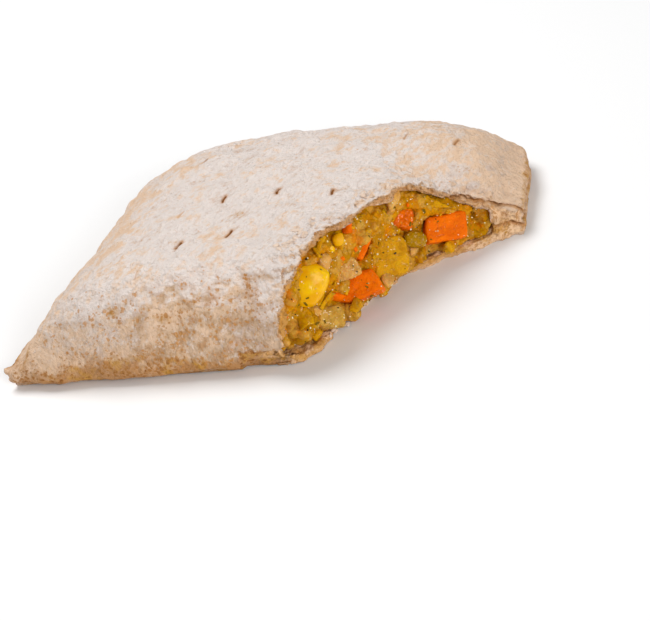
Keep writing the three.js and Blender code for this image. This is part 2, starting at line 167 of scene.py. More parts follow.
# Blocks of vegetable: size, cuts with their places and facings as shares of it, worn edge, size and depth
# of the lumps, place along, out and up on the break, turns in degrees and rounds of softening
Block = namedtuple("Block", "name node size cuts edge lumps at turn soften", defaults=(6,))
FRONT_CARROT = Block(
    name="front_carrot",
    node="carrot_front",
    size=(11.4, 5.8, 6.6),
    cuts=[
        ((0.95, 0, 0), (1, 0.1, 0.25)),
        ((-0.9, 0, -0.3), (-1, 0.05, 0.55)),
        ((0, 0, 0.96), (0.05, -0.1, 1)),
        ((-0.6, 0, -0.9), (-0.5, 0, -1)),
    ],
    edge=0.8,
    lumps=(2.8, 0.5),
    at=(29.1, 1.8, 7.2),
    turn=(-41, 19, -39),
    soften=12,
)
RIGHT_CARROT = Block(
    name="right_carrot",
    node="carrot_right",
    size=(11, 5.2, 6.9),
    cuts=[
        ((0.95, 0, 0), (1, 0.1, -0.12)),
        ((-0.95, 0, 0), (-1, 0.12, 0.3)),
        ((0, 0, 0.96), (-0.06, -0.08, 1)),
    ],
    edge=0.7,
    lumps=(2.8, 0.45),
    at=(57.2, 5.9, 8.5),
    turn=(-26, 25, -22),
    soften=12,
)
ROUGH_CARROT = Block(
    name="rough_carrot",
    node="carrot_rough",
    size=(6.2, 4.2, 6.2),
    cuts=[((0.7, 0, 0.7), (1, 0, 1)), ((-0.8, 0, -0.6), (-1, 0, -0.8)), ((-0.7, 0, 0.8), (-0.8, 0.1, 1))],
    edge=0.8,
    lumps=(1.1, 0.8),
    at=(48.6, 0.6, 15.4),
    turn=(-19, 43, -38),
)
THIN_CARROT = Block(
    name="thin_carrot",
    node="carrot_slice",
    size=(6.4, 4.6, 2.2),
    cuts=[((0.9, 0, 0), (1, 0, 0.4)), ((-0.9, 0, 0), (-1, 0.2, 0))],
    edge=0.5,
    lumps=(1.6, 0.4),
    at=(35.1, -0.7, 13.6),
    turn=(-56, -23, -18),
)
POTATO_SLAB = Block(
    name="slab_of_potato",
    node="potato_slab",
    size=(9, 4.2, 10),
    cuts=[((0.85, 0, 0.8), (1, 0, 0.7)), ((-0.9, 0, 0.9), (-0.6, 0, 1)), ((0.8, 0, -0.85), (0.8, 0, -1))],
    edge=0.9,
    lumps=(3, 0.4),
    at=(41, 1.9, 8.6),
    turn=(-27, 27, -26),
    soften=10,
)
POTATO_LUMP = Block(
    name="lump_of_potato",
    node="potato_lump",
    size=(6.8, 4.2, 5.2),
    cuts=[((0.8, 0, 0.8), (1, 0, 0.9)), ((-0.8, 0, -0.8), (-1, 0, -0.6))],
    edge=0.8,
    lumps=(2, 0.6),
    at=(17.9, 2, 5.5),
    turn=(-31, 33, -33),
)
ONION = Block(
    name="onion",
    node="onion_piece",
    size=(6.6, 3.4, 5.2),
    cuts=[((0.8, 0, 0.8), (1, 0, 0.8)), ((-0.8, 0, 0.8), (-1, 0, 0.5))],
    edge=0.8,
    lumps=(2, 0.6),
    at=(27.2, 0.8, 13.3),
    turn=(-31, 11, -35),
)
CABBAGE = Block(
    name="cabbage",
    node="cabbage_strip",
    size=(10.4, 3, 1.9),
    cuts=[((0.9, 0, 0), (1, 0.3, 0))],
    edge=0.4,
    lumps=(1.8, 0.6),
    at=(57, 4.9, 15.2),
    turn=(-5, 39, -47),
)
CABBAGE_BEND = 0.5
BLOCK_FINENESS = 0.22

# Pieces that the small bits may lie on
WHOLE_PIECES = (
    "kernel",
    "front_carrot",
    "right_carrot",
    "rough_carrot",
    "slab_of_potato",
    "lump_of_potato",
    "bean",
    "onion",
    "cabbage",
)

# The way that the camera looks at the break: along, into and up it
SEEN_FROM = (0.564, 0.64, -0.521)

# The part of the broken face on which bits are strewn, along and up, and how far in front they start
FACE_WIDTH = (3, 70)
FACE_HEIGHT = (1.5, 26)
STAND_OFF = 40

# The bits that stand out: place along, out and up on the break, size, turn in degrees and how sunk
SWEETCORN_BITS = [((27.3, 0.3, 21.8), (3.6, 3, 2.4), 20, 0.35), ((24.8, 0.2, 20.6), (2, 1.6, 1.4), 70, 0.4)]
CARROT_BITS = [((31.8, -0.1, 22.4), (3.2, 2, 1.6), 35, 0.35), ((22.4, 1, 8.6), (4.4, 2, 1.6), -30, 0.4)]
ONION_BITS = [
    ((38.6, 1.8, 3.4), (4.4, 3.2, 1.8), 30, 0.4),
    ((47.1, 0.7, 21), (5, 2.6, 1.6), 20, 0.4),
    ((15.4, 0.9, 9.2), (4, 2.4, 1.6), 10, 0.4),
    ((21.8, -0.1, 18.2), (4.6, 3.6, 1.8), 50, 0.5),
]
POTATO_BITS = [((56.9, 6.3, 3.4), (4.2, 3, 2.2), 10, 0.4), ((26.9, 1.9, 3.2), (3.6, 2.4, 1.8), 20, 0.4)]
CABBAGE_SHREDS = [
    ((17.9, 0.7, 10.8), (5.6, 1.2, 1), 25, 0),
    ((18.9, 0.7, 9.6), (5, 1, 1), 15, 0),
    ((11.8, 0.5, 8.8), (5, 3.2, 1.4), 60, 0),
    ((21.6, -0.5, 22.4), (5, 1, 1), 40, 0),
    ((20.4, -0.5, 21.4), (4.6, 1, 1), 55, 0),
]
PEPPER_SPECKS = [((16.7, -0.1, 22.4), (0.7, 0.6, 0.5), 0, 0.3), ((42, 3, 9.4), (0.7, 0.5, 0.4), 0, 0.3)]

# The camera, fitted to the photograph's outline: the picture is 650 by 621 pixels
PICTURE = (650, 621)
FOCAL_PIXELS = 2500
TARGET_PIXEL = (332.27, 242.61)
SENSOR = 36
VIEW_YAW = math.radians(16)
VIEW_HEIGHT = math.radians(31.42)
VIEW_ROLL = math.radians(-13.2)
VIEW_DISTANCE = 614.85
VIEW_TARGET = Vector((0, 40, 10))

# Floor and lights, in metres: each light's place, what it aims at and its width
FLOOR_WIDTH = 8
LIGHTS = {
    "key": ((-0.25, 0.15, 0.6), (0, 0, 0), 0.4),
    "fill": ((0.42, -0.62, 0.38), (0, 0, 0.01), 0.34),
    "glint": ((0.7, -0.18, 0.16), (0, 0, 0.01), 0.16),
}

# How far light goes in soft vegetable flesh, for red, green and blue
FLESH_RADIUS = (1.0, 0.5, 0.08)
FLESH_SCALE = 1.0 * MM


def srgb(red, green, blue):
    """A colour from 0 to 255 as seen on a screen, as the linear values that shaders take."""
    return tuple(
        c / 12.92 if c <= 0.04045 else ((c + 0.055) / 1.055) ** 2.4
        for c in (red / 255, green / 255, blue / 255)
    )


# Numbers


def ease(t):
    """0 below 0, 1 above 1 and a smooth slope between them."""
    t = np.clip(t, 0, 1)
    return t * t * (3 - 2 * t)


def fade(value, low, high):
    """0 at low and 1 at high, eased between them. low may be the larger one."""
    return ease((value - low) / (high - low))


def hump(value, middle, width):
    """1 in the middle, and about a third at the width on either side."""
    return np.exp(-(((value - middle) / width) ** 2))


def grain(points, size, seed=0.0):
    """Smooth noise between about -1 and 1 at each point, with lumps of a size, or one size for each axis."""
    scaled = points / np.asarray(size, float) + seed
    return np.array([noise(p) for p in scaled.tolist()])


def chunks(points, size, seed):
    """How deep in its own random lump each point is, 0 at the border, and a number of each lump's own."""
    bend = np.stack([grain(points, size * 0.9, seed + shift) for shift in (0.0, 5.3, 9.7)], 1)
    inside = np.empty(len(points))
    own = np.empty(len(points))
    for index, place in enumerate((points / size + 0.3 * bend + seed).tolist()):
        distances, middles = voronoi(place)
        inside[index] = distances[1] - distances[0]
        own[index] = 0.5 + noise(middles[0] * 7.3)
    return inside, np.clip(own, 0, 1)


def edge_x(edge, y):
    """Where the left or right edge of the plan is, at a depth."""
    near = np.clip((y - DEPTH + edge["corner_y"]) / edge["corner_y"], 0, 1)
    corner = edge["corner_x"] * (1 - np.sqrt(1 - near * near))
    reach = edge["reach"] - edge["slope"] * y + edge["flare"] * np.exp(-y / FLARE_FADE)
    return edge["side"] * (reach - corner)


def break_line(u):
    """How far out the broken face is, along it: straight, then bent outwards."""
    return BREAK_OUT + BEND_SLOPE * BEND_SOFTNESS * np.log1p(np.exp((u - BEND_AT) / BEND_SOFTNESS))


class Places:
    """Where a mesh's vertices are, in millimetres, and how they face.

    x, y and z are on the plan, and u and n along and out of the break. behind is how far inside the broken
    face a point is, and from_left, from_right and from_rim how far inside the edges. away points straight
    out of the face there, and facing is 1 where the mesh faces that way.
    """

    def __init__(self, obj):
        count = len(obj.data.vertices)
        flat = np.empty(count * 3, np.float32)
        obj.data.vertices.foreach_get("co", flat)
        self.world = flat.reshape(-1, 3).astype(float)
        self.plan = self.world / MM - np.array(PLAN_ORIGIN)
        obj.data.vertex_normals.foreach_get("vector", flat)
        self.normal = flat.reshape(-1, 3).astype(float)
        self.x, self.y, self.z = self.plan.T
        from_start = self.plan - np.array([BREAK_START, 0, 0])
        self.u = from_start @ ALONG
        self.n = from_start @ OUTWARD
        self.behind = break_line(self.u) - self.n
        slope = BEND_SLOPE / (1 + np.exp(-(self.u - BEND_AT) / BEND_SOFTNESS))
        away = OUTWARD[None, :] - slope[:, None] * ALONG[None, :]
        self.away = away / np.linalg.norm(away, axis=1)[:, None]
        self.facing = (self.normal * self.away).sum(1)
        self.from_left = self.x - edge_x(LEFT_EDGE, self.y)
        self.from_right = edge_x(RIGHT_EDGE, self.y) - self.x
        self.from_rim = np.minimum(np.minimum(self.from_left, self.from_right), DEPTH - self.y)


# Modelling


def deselect():
    """Leaves edit mode and selects nothing, because an operator acts on all that is selected."""
    if bpy.context.object and bpy.context.object.mode != "OBJECT":
        bpy.ops.object.mode_set(mode="OBJECT")
    bpy.ops.object.select_all(action="DESELECT")


def pick(obj):
    deselect()
    obj.select_set(True)
    bpy.context.view_layer.objects.active = obj


def merged_copy(node, name):
    """A CAD node's shape as a new object, its loose triangles joined."""
    obj = bpy.data.objects.new(name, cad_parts[node].data.copy())
    bpy.context.scene.collection.objects.link(obj)
    obj.data.materials.clear()
    pick(obj)
    bpy.ops.object.mode_set(mode="EDIT")
    bpy.ops.mesh.select_all(action="SELECT")
    bpy.ops.mesh.remove_doubles(threshold=1e-6)
    bpy.ops.object.mode_set(mode="OBJECT")
    return obj


def apply_modifier(obj, kind, **settings):
    pick(obj)
    modifier = obj.modifiers.new(kind.title(), kind)
    for key, value in settings.items():
        setattr(modifier, key, value)
    bpy.ops.object.modifier_apply(modifier=modifier.name)


def smooth(obj, rounds, group=""):
    apply_modifier(obj, "SMOOTH", factor=0.5, iterations=rounds, vertex_group=group)


def thin_out(obj, spare, share):
    """Takes away a share of the faces at the spare vertices, and leaves the others as they are."""
    apply_modifier(
        obj,
        "DECIMATE",
        decimate_type="COLLAPSE",
        ratio=1 - share * float(spare.mean()),
        vertex_group=vertex_group(obj, "spare", spare.astype(float)),
        vertex_group_factor=1,
    )


def roughen(obj, size, depth):
    """Moves the surface in and out in soft lumps of a size, over a depth, in millimetres."""
    texture = bpy.data.textures.new("Clouds", "CLOUDS")
    texture.noise_scale = size * MM
    texture.noise_depth = 2
    apply_modifier(
        obj, "DISPLACE", texture=texture, texture_coords="LOCAL", strength=depth * MM, mid_level=0.5
    )


def vertex_group(obj, name, weights):
    """Puts the vertices in a group, their weights rounded to tenths, and returns its name."""
    group = obj.vertex_groups.new(name=name)
    levels = np.round(weights * 10).astype(int)
    for level in range(1, 11):
        members = np.flatnonzero(levels == level).tolist()
        if members:
            group.add(members, level / 10, "REPLACE")
    return group.name


def write_attribute(obj, name, values):
    attribute = obj.data.attributes.new(name, "FLOAT", "POINT")
    attribute.data.foreach_set("value", np.asarray(values, np.float32))


def move_points(obj, world):
    obj.data.vertices.foreach_set("co", world.astype(np.float32).ravel())
    obj.data.update()


def face_share(obj, chosen):
    """For each face, whether any of its corners is a chosen vertex."""
    corners = np.empty(len(obj.data.loops), np.int32)
    obj.data.loops.foreach_get("vertex_index", corners)
    starts = np.empty(len(obj.data.polygons), np.int32)
    obj.data.polygons.foreach_get("loop_start", starts)
    return np.add.reduceat(chosen[corners].astype(int), starts) > 0


def subdivide_where(obj, chosen):
    """Halves the edges of the faces that touch the chosen vertices."""
    faces = face_share(obj, chosen)
    pick(obj)
    bpy.ops.object.mode_set(mode="EDIT")
    bpy.ops.mesh.select_mode(type="FACE")
    bpy.ops.mesh.select_all(action="DESELECT")
    shape = bmesh.from_edit_mesh(obj.data)
    for face in shape.faces:
        if faces[face.index]:
            face.select_set(True)
    bmesh.update_edit_mesh(obj.data)
    bpy.ops.mesh.subdivide(number_cuts=1)
    bpy.ops.object.mode_set(mode="OBJECT")


def put_on_break(obj, at, turn):
    """Places a piece by the broken face's frame; its object stays at the origin."""
    u, n, z = at
    turned = (
        Matrix.Rotation(math.radians(turn[0]), 4, "X")
        @ Matrix.Rotation(math.radians(turn[1]), 4, "Y")
        @ Matrix.Rotation(math.radians(turn[2]), 4, "Z")
    )
    obj.matrix_world = BREAK_FRAME @ Matrix.Translation(Vector((u, -n, z)) * MM) @ turned
    pick(obj)
    bpy.ops.object.transform_apply(location=True, rotation=True, scale=True)


def hand_over(obj, material, slot, *nodes):
    """Gives a finished piece its material and its place in the frame."""
    obj.data.materials.clear()
    obj.data.materials.append(material)
    pick(obj)
    bpy.ops.object.shade_smooth()
    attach(obj, "root")
    if nodes:
        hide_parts(*nodes)
    deselect()


def filling_tree():
    return tree_of([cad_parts["filling"]])


def tree_of(objects):
    """A search tree over the surfaces of some objects, in world metres."""
    points = []
    faces = []
    for obj in objects:
        first = len(points)
        points.extend(v.co.copy() for v in obj.data.vertices)
        faces.extend([first + i for i in p.vertices] for p in obj.data.polygons)
    return BVHTree.FromPolygons(points, faces)


# Small pieces that are copied many times

Spot = namedtuple("Spot", "place up size turn lean sink")


def pattern_of(obj):
    """A shape's corners and faces, to be copied. Its object is deleted."""
    points = np.array([v.co[:] for v in obj.data.vertices])
    faces = [list(p.vertices) for p in obj.data.polygons]
    bpy.data.objects.remove(obj)
    return points, faces


def crumb_pattern():
    """A small ball, which its copies make uneven."""
    deselect()
    bpy.ops.mesh.primitive_ico_sphere_add(subdivisions=2, radius=0.5)
    return pattern_of(bpy.context.object)


def cut_pattern():
    """A small cube with its edges worn off."""
    deselect()
    bpy.ops.mesh.primitive_cube_add(size=1)
    bpy.ops.object.mode_set(mode="EDIT")
    bpy.ops.mesh.bevel(offset=0.24, segments=2, affect="EDGES")
    bpy.ops.object.mode_set(mode="OBJECT")
    return pattern_of(bpy.context.object)


def sheet_pattern(along, across, thickness):
    """A flat sheet, one long and one wide, of a thickness in millimetres."""
    deselect()
    bpy.ops.mesh.primitive_grid_add(x_subdivisions=along, y_subdivisions=across, size=1)
    obj = bpy.context.object
    apply_modifier(obj, "SOLIDIFY", thickness=thickness, offset=0)
    return pattern_of(obj)


def copies(pattern, spots, draw, rough=0.3, curl=0.0, bow=0.0):
    """A copy of a pattern at each spot, each uneven and curled in its own way, as points and faces."""
    corners, sides = pattern
    points = []
    faces = []
    for spot in spots:
        uneven = 1 + rough * grain(corners * 1.7, 1, draw.uniform(0, 90))
        shape = corners * uneven[:, None] * spot.size
        reach = (shape[:, 0] / spot.size[0]) ** 2 * spot.size[0]
        shape[:, 2] += curl * draw.uniform(0.3, 1) * reach
        shape[:, 1] += bow * draw.uniform(-1, 1) * reach
        up = spot.up.normalized()
        side = Vector(ALONG)
        side = (side - up * side.dot(up)).normalized()
        stand = Matrix((side, up.cross(side), up)).transposed()
        turned = stand @ Matrix.Rotation(spot.turn, 3, "Z") @ Matrix.Rotation(spot.lean, 3, "X")
        middle = np.array(spot.place - up * spot.sink * MM)
        faces.extend([len(points) + i for i in side_corners] for side_corners in sides)
        points.extend((shape @ np.array(turned).T * MM + middle).tolist())
    return points, faces


def joined(name, *shapes):
    """One object of several sets of points and faces."""
    points = []
    faces = []
    for some_points, some_faces in shapes:
        faces.extend([len(points) + i for i in face] for face in some_faces)
        points.extend(some_points)
    mesh = bpy.data.meshes.new(name)
    mesh.from_pydata(points, [], faces)
    obj = bpy.data.objects.new(name, mesh)
    bpy.context.scene.collection.objects.link(obj)
    return obj


# Finishes


class Socket:
    """An output of a node, on which Python's arithmetic adds Math nodes."""

    def __init__(self, finish, link):
        self.finish = finish
        self.link = link

    def maths(self, operation, *others):
        """A Math node on this value and others."""
        values = {i: v for i, v in enumerate((self, *others))}
        return self.finish.node("ShaderNodeMath", {"operation": operation}, values)

    def __add__(self, other):
        return self.maths("ADD", other)

    def __radd__(self, other):
        return self.maths("ADD", other)

    def __sub__(self, other):
        return self.maths("SUBTRACT", other)

    def __rsub__(self, other):
        return self.finish.node("ShaderNodeMath", {"operation": "SUBTRACT"}, {0: other, 1: self})

    def __mul__(self, other):
        return self.maths("MULTIPLY", other)

    def __rmul__(self, other):
        return self.maths("MULTIPLY", other)

    def fade(self, low, high):
        """0 at low and 1 at high, eased between them."""
        return self.finish.node(
            "ShaderNodeMapRange",
            {"interpolation_type": "SMOOTHSTEP"},
            {"Value": self, "From Min": low, "From Max": high},
        )


class Finish:
    """A material whose nodes are written as expressions."""

    def __init__(self, name):
        self.material = bpy.data.materials.new(name)
        self.material.use_nodes = True
        self.tree = self.material.node_tree
        self.tree.nodes.clear()
        self.place = self.node("ShaderNodeTexCoord", output="Object")

    def node(self, kind, settings=None, values=None, output=0):
        """Adds a node with its settings, and sets or links its sockets. Returns one of its outputs."""
        made = self.tree.nodes.new(kind)
        for key, value in (settings or {}).items():
            setattr(made, key, value)
        for key, value in (values or {}).items():
            if isinstance(value, Socket):
                self.tree.links.new(value.link, made.inputs[key])
            else:
                made.inputs[key].default_value = value
        return Socket(self, made.outputs[output])

    def mix(self, factor, first, second):
        """A colour between two."""
        values = {0: factor}
        for index, colour in ((6, first), (7, second)):
            values[index] = colour if isinstance(colour, Socket) else (*colour, 1)
        return self.node("ShaderNodeMix", {"data_type": "RGBA"}, values, output=2)

    def stretched(self, scale, turn):
        """Object coordinates turned about the vertical, then stretched, so that lumps in them are too."""
        return self.node(
            "ShaderNodeMapping",
            {"vector_type": "TEXTURE"},
            {"Vector": self.place, "Rotation": (0, 0, turn), "Scale": scale},
        )

    def grain(self, size, detail=2.0, rough=0.5, place=None, twist=0.0):
        """Noise with lumps of a size in millimetres."""
        values = {
            "Vector": place or self.place,
            "Scale": 1 / (size * MM),
            "Detail": detail,
            "Roughness": rough,
            "Distortion": twist,
        }
        return self.node("ShaderNodeTexNoise", None, values)

    def dots(self, size, reach):
        """Uneven spots, one in each random cell of a size, its radius up to a share of the cell."""
        stir = {"Vector": self.place, "Scale": 1.3 / (size * MM)}
        warp = self.node("ShaderNodeTexNoise", None, stir, output="Color")
        bend = {0: warp, 1: [size * 0.9 * MM] * 3, 2: self.place}
        bent = self.node("ShaderNodeVectorMath", {"operation": "MULTIPLY_ADD"}, bend)
        values = {"Vector": bent, "Scale": 1 / (size * MM)}
        away = self.node("ShaderNodeTexVoronoi", None, values, output="Distance")
        own = self.node("ShaderNodeTexVoronoi", None, values, output="Color")
        return (own.fade(0.2, 0.8) * reach - away).fade(-0.04, 0.12)

    def layered(self, depth, spread):
        """Object coordinates moved up by a depth times a spread in millimetres, so that layers differ."""
        lift = self.node("ShaderNodeCombineXYZ", None, {"Z": depth * (spread * MM)})
        return self.node("ShaderNodeVectorMath", {"operation": "ADD"}, {0: self.place, 1: lift})

    def attribute(self, name):
        return self.node("ShaderNodeAttribute", {"attribute_name": name}, output="Fac")

    def bump(self, height, depth):
        """A normal from a height of 0 to 1 that stands for a depth in millimetres."""
        values = {"Height": height, "Distance": depth * MM, "Strength": 1.0}
        return self.node("ShaderNodeBump", None, values)

    def surface(self, values, wet=None, share=0.0):
        """The finished material. Where the share is 1 it has the values of wet instead."""
        shader = self.node("ShaderNodeBsdfPrincipled", None, values)
        if wet:
            other = self.node("ShaderNodeBsdfPrincipled", None, {**values, **wet})
            shader = self.node("ShaderNodeMixShader", None, {0: share, 1: shader, 2: other})
        output = self.tree.nodes.new("ShaderNodeOutputMaterial")
        self.tree.links.new(shader.link, output.inputs["Surface"])
        return self.material


# Settings


def colour(name, description, default):
    return FloatVectorProperty(
        name=name, description=description, default=default, subtype="COLOR", min=0, max=1
    )


class PastrySettings(bpy.types.PropertyGroup):
    """Sizes and colours of the crust."""

    fineness: FloatProperty(
        name="Fineness",
        description="Edge of the crust's faces",
        default=0.54 * MM,
        unit="LENGTH",
    )
    ripple: FloatProperty(
        name="Ripple",
        description="Height of the fine wrinkles on the top, in millimetres",
        default=0.34,
    )
    lumps: FloatProperty(name="Lumps", description="Height of the broad lumps, in millimetres", default=0.9)
    flour: colour("Flour", "Floury top", srgb(230, 218, 211))
    cream: colour("Cream", "Pale dough between the freckles", srgb(196, 165, 135))
    peach: colour("Peach", "Baked dough with little flour", srgb(228, 195, 165))
    gold: colour("Gold", "Yellower patches of the browned dough", srgb(194, 138, 46))
    toast: colour("Toast", "Browned dough at the fold and the rim", srgb(184, 132, 80))
    bran: colour("Bran", "Freckles of bran", srgb(198, 138, 72))
    torn: colour("Torn", "Inside of the pastry where it is torn", srgb(244, 204, 162))
    layer: colour("Layer", "Lines between the layers of the torn pastry", srgb(202, 152, 102))
    stain: colour("Stain", "Torn pastry stained by the filling", srgb(210, 152, 62))
    # Partly painted shade: dark brown put in the slits and the partings, over the browner dough there; it
    # also darkens the middles of browned freckles
    slit: colour("Slit", "Inside of the steam slits", srgb(144, 90, 38))
    scatter_seed: IntProperty(name="Scatter Seed", description="Seed of the crumbs of pastry", default=3)


class FillingSettings(bpy.types.PropertyGroup):
    """Sizes and colours of the filling."""

    fineness: FloatProperty(
        name="Fineness", description="Edge of the mash's faces", default=0.5 * MM, unit="LENGTH"
    )
    swell: FloatProperty(
        name="Swell",
        description="How far the mash fills the gap to the pastry",
        default=0.85 * MM,
        unit="LENGTH",
    )
    mash: colour("Mash", "Mashed vegetable", srgb(222, 150, 2))
    amber: colour("Amber", "Warmer lumps in the mash", srgb(208, 128, 2))
    olive: colour("Olive", "Green lumps in the mash", srgb(184, 132, 2))
    pale: colour("Pale", "Pale translucent lumps in the mash", srgb(218, 172, 76))
    orange: colour("Orange", "Mash coloured by carrot", srgb(228, 124, 2))
    # Painted shade: the darker mash colour put in the crevices between lumps and in the pits
    crevice_shade: colour("Dark", "Mash in the crevices", srgb(146, 90, 2))
    carrot: colour("Carrot", "Cut carrot", srgb(248, 116, 0))
    sweetcorn: colour("Sweetcorn", "Sweetcorn skin", srgb(240, 188, 0))
    potato: colour("Potato", "Cut potato", srgb(220, 160, 16))
    onion: colour("Onion", "Cooked onion", srgb(224, 170, 88))
    bean: colour("Bean", "Green bean", srgb(184, 136, 0))
    cabbage: colour("Cabbage", "Cabbage strips", srgb(216, 158, 8))
    herb: colour("Herb", "Herb flecks", srgb(112, 88, 10))
    pepper: colour("Pepper", "Pepper specks", srgb(36, 24, 14))
    # Painted highlight: the near-white colour of the fine beads that stand for glints on the wet food
    drop: colour("Drop", "Fine wet specks", srgb(255, 240, 200))
    scatter_seed: IntProperty(name="Scatter Seed", description="Seed of the scattered bits", default=5)


class StageSettings(bpy.types.PropertyGroup):
    """Floor, lights and camera."""

    floor: colour("Floor", "Floor", (0.9, 0.9, 0.9))
    key: FloatProperty(name="Key", description="Power of the large light above", default=3.4, unit="POWER")
    fill: FloatProperty(name="Fill", description="Power of the light in front", default=2.8, unit="POWER")
    glint: FloatProperty(name="Glint", description="Power of the small low light", default=1.0, unit="POWER")
    sky: FloatProperty(name="Sky", description="Strength of the light all round", default=0.32)


# Crust


def crust_shape(settings):
    """The CAD crust with even faces and its skin's relief, the faces that nobody sees thinned out."""
    obj = merged_copy("crust", "pastry")
    apply_modifier(obj, "REMESH", mode="VOXEL", voxel_size=settings.fineness)
    filling = filling_tree()
    at = Places(obj)
    inner = hollow_side(at, filling)
    skin = fade(at.behind, 1, 3) * fade(at.from_rim, 1.5, 4) * (at.z > RESTING)
    smooth(obj, 36, vertex_group(obj, "skin", skin))
    smooth(obj, 3, vertex_group(obj, "all", np.full(len(at.x), 0.5)))
    by_break = (at.behind > 0.3) & (at.behind < 4.5) & (at.z > 11)
    by_break &= (at.normal[:, 2] > 0.2) & (torn_share(at) < 0.1)
    subdivide_where(obj, by_break & ~inner)
    inner = hollow_side(Places(obj), filling)
    relief(obj, settings, inner)
    at = Places(obj)
    below = (at.z < 0.6) & (at.normal[:, 2] < -0.8)
    thin_out(obj, inner | (below & (at.behind > 3)), 0.95)
    return obj


def slit_distance(at):
    return np.min([np.hypot(at.x - x, at.y - y) for x, y in SLITS], axis=0)


def hollow_side(at, filling):
    """Which points face the filling, away from the break and the slits, where nobody sees them."""
    to_filling = np.array([filling.find_nearest(p)[3] for p in at.world.tolist()]) / MM
    return (to_filling < HOLLOW_GAP) & (at.behind > HOLLOW_START) & (slit_distance(at) > SLIT_CLEARANCE)


def relief(obj, settings, inner):
    """Gives the outer skin its height, and moves the lip of the bottom pastry out and back."""
    at = Places(obj)
    chosen = np.flatnonzero(~inner & (at.z > RESTING))
    rise = wrinkles(at, chosen, settings)
    rise += flaking(at, chosen)
    rise += rough_foot(at, chosen)
    height = np.zeros(len(at.x))
    height[chosen] = np.minimum(rise - 0.2, 0.5 + 0.5 * fade(at.z[chosen], 26.5, 24))
    height *= fade(at.behind, 0.2, 1.2)
    height -= seam(at) * ~inner
    moved = at.world + at.normal * (height * MM)[:, None]
    moved += at.away * (lip_reach(at) * MM)[:, None]
    move_points(obj, moved)


def wrinkles(at, chosen, settings):
    """Height of the broad lumps, the wrinkles that run as the break does and the fine crinkles."""
    plan = at.plan[chosen]
    top = fade(at.normal[chosen, 2], 0.2, 0.7)
    turned = np.stack([at.n[chosen], at.u[chosen], plan[:, 2]], 1)
    wrinkled = top * (0.45 + 0.55 * fade(grain(plan, 16, 6.6), -0.2, 0.3))
    uneven = settings.lumps * (1 - 0.35 * fade(plan[:, 0], 8, 30))
    rise = uneven * (grain(plan, 9, 3.1) + 0.55 * grain(plan, 3.4, 8.2))
    rise += settings.ripple * wrinkled * grain(turned, (1.4, 2.6, 2.6), 1.7)
    rise += 0.5 * settings.ripple * (0.3 + 0.7 * top) * grain(turned, (0.9, 1.5, 1.5), 4.9)
    return rise


def flaking(at, chosen):
    """Height of the thin flakes beside the break, which lie in terraces."""
    plan = at.plan[chosen]
    near = hump(at.behind[chosen], 1.5, 6) * fade(at.normal[chosen, 2], 0.45, 0.85)
    level = 5 * (grain(plan, (3.4, 2.6, 3), 5.5) + 0.35 * grain(plan, 1.1, 2.8))
    terrace = np.floor(level) + fade(level - np.floor(level), 0.0, 0.3)
    return near * (0.26 * terrace + 0.3 * grain(plan, 0.9, 7.4))


def rough_foot(at, chosen):
    """Height of the uneven skin low on the front of the fold."""
    plan = at.plan[chosen]
    low = fade(at.z[chosen], 13, 6) * fade(at.y[chosen], 9, 4)
    return 0.2 * low * grain(plan, (3.4, 2.4, 1.6), 2.4) + 0.1 * low * grain(plan, 1.1, 6.2)


def lip_reach(at):
    """How far the bottom lip stands out at its left end, less how far its middle is drawn back."""
    drawn = 1.5 * fade(at.u, 17, 23) * fade(at.u, 52, 45) * fade(at.z, 5.5, 2.5) * fade(at.behind, 3, 0.6)
    scoop = 1.5 * hump(at.u, 10.5, 5) * fade(at.z, 3.4, 1.6) * fade(at.behind, 3, 0.6)
    return scoop - drawn


def seam(at):
    """Depth of the uneven line where the two layers are pressed together round the rim."""
    middle = 3.4 + 0.5 * grain(at.plan * [1, 1, 0], 6, 4.4)
    wall = fade(at.from_rim, 1.2, 0.4) * (at.y > 2)
    return 0.7 * wall * hump(at.z, middle, 0.7)


def torn_share(at):
    """How far each point belongs to the torn face."""
    return fade(at.facing, 0.45, 0.75) * fade(at.behind, 3.4, 2)


def overhang(u, z):
    """How far the outer skin stands out over the inner side of the pastry, in millimetres."""
    left = 2.3 * fade(u, 17, 11) * fade(z, 5, 8)
    top = 1.5 * fade(u, 21, 27) * fade(u, 57, 51) * fade(z, 15, 19)
    return left + top


def tear(obj, outer):
    """Roughens the torn pastry in layers, each with its own ragged edge. Returns how torn and how deep."""
    at = Places(obj)
    torn = torn_share(at)
    near = np.flatnonzero((at.behind < TEAR_REACH) & (at.z > 0.4))
    depth = np.zeros(len(at.x))
    depth[near] = [outer.find_nearest(at.world[i])[3] / MM for i in near.tolist()]
    skin = overhang(at.u, at.z) * fade(depth, 2.5, 0.2)
    skin *= fade(at.behind, TEAR_REACH, 0.5) * (at.behind < TEAR_REACH)
    chosen = np.flatnonzero(torn > 0.02)
    plan = at.plan[chosen]
    layer = depth[chosen] / LAYER + 0.3 * grain(plan, 3, 9.1)
    whole = np.floor(layer)
    step = whole + fade(layer - whole, 0.3, 0.7)
    apart = np.stack([plan[:, 0], plan[:, 1], plan[:, 2] + step * 9.7], 1)
    ragged = 0.9 * grain(apart, 1.9, 2.2) + 0.5 * grain(apart, 0.8, 6.1) + 0.2 * grain(plan, 0.45, 1.1)
    ragged += 0.9 * fade(depth[chosen], 1.5, 0) * grain(plan, 3.2, 4.4)
    ragged += 2.2 * fade(at.u[chosen], 60, 66) * grain(plan, 3.4, 8.8)
    ragged *= 1 - 0.7 * fade(at.z[chosen], 4.5, 3)
    ragged += 0.5 * hump(depth[chosen], 0, 0.45) * fade(grain(plan, 1.4, 3.7), -0.1, 0.25)
    moved = at.world + at.away * (skin * MM)[:, None]
    moved[chosen] += at.away[chosen] * (torn[chosen] * np.clip(ragged, -0.8, 0.9) * MM)[:, None]
    move_points(obj, moved)
    return torn, depth * (torn > 0)


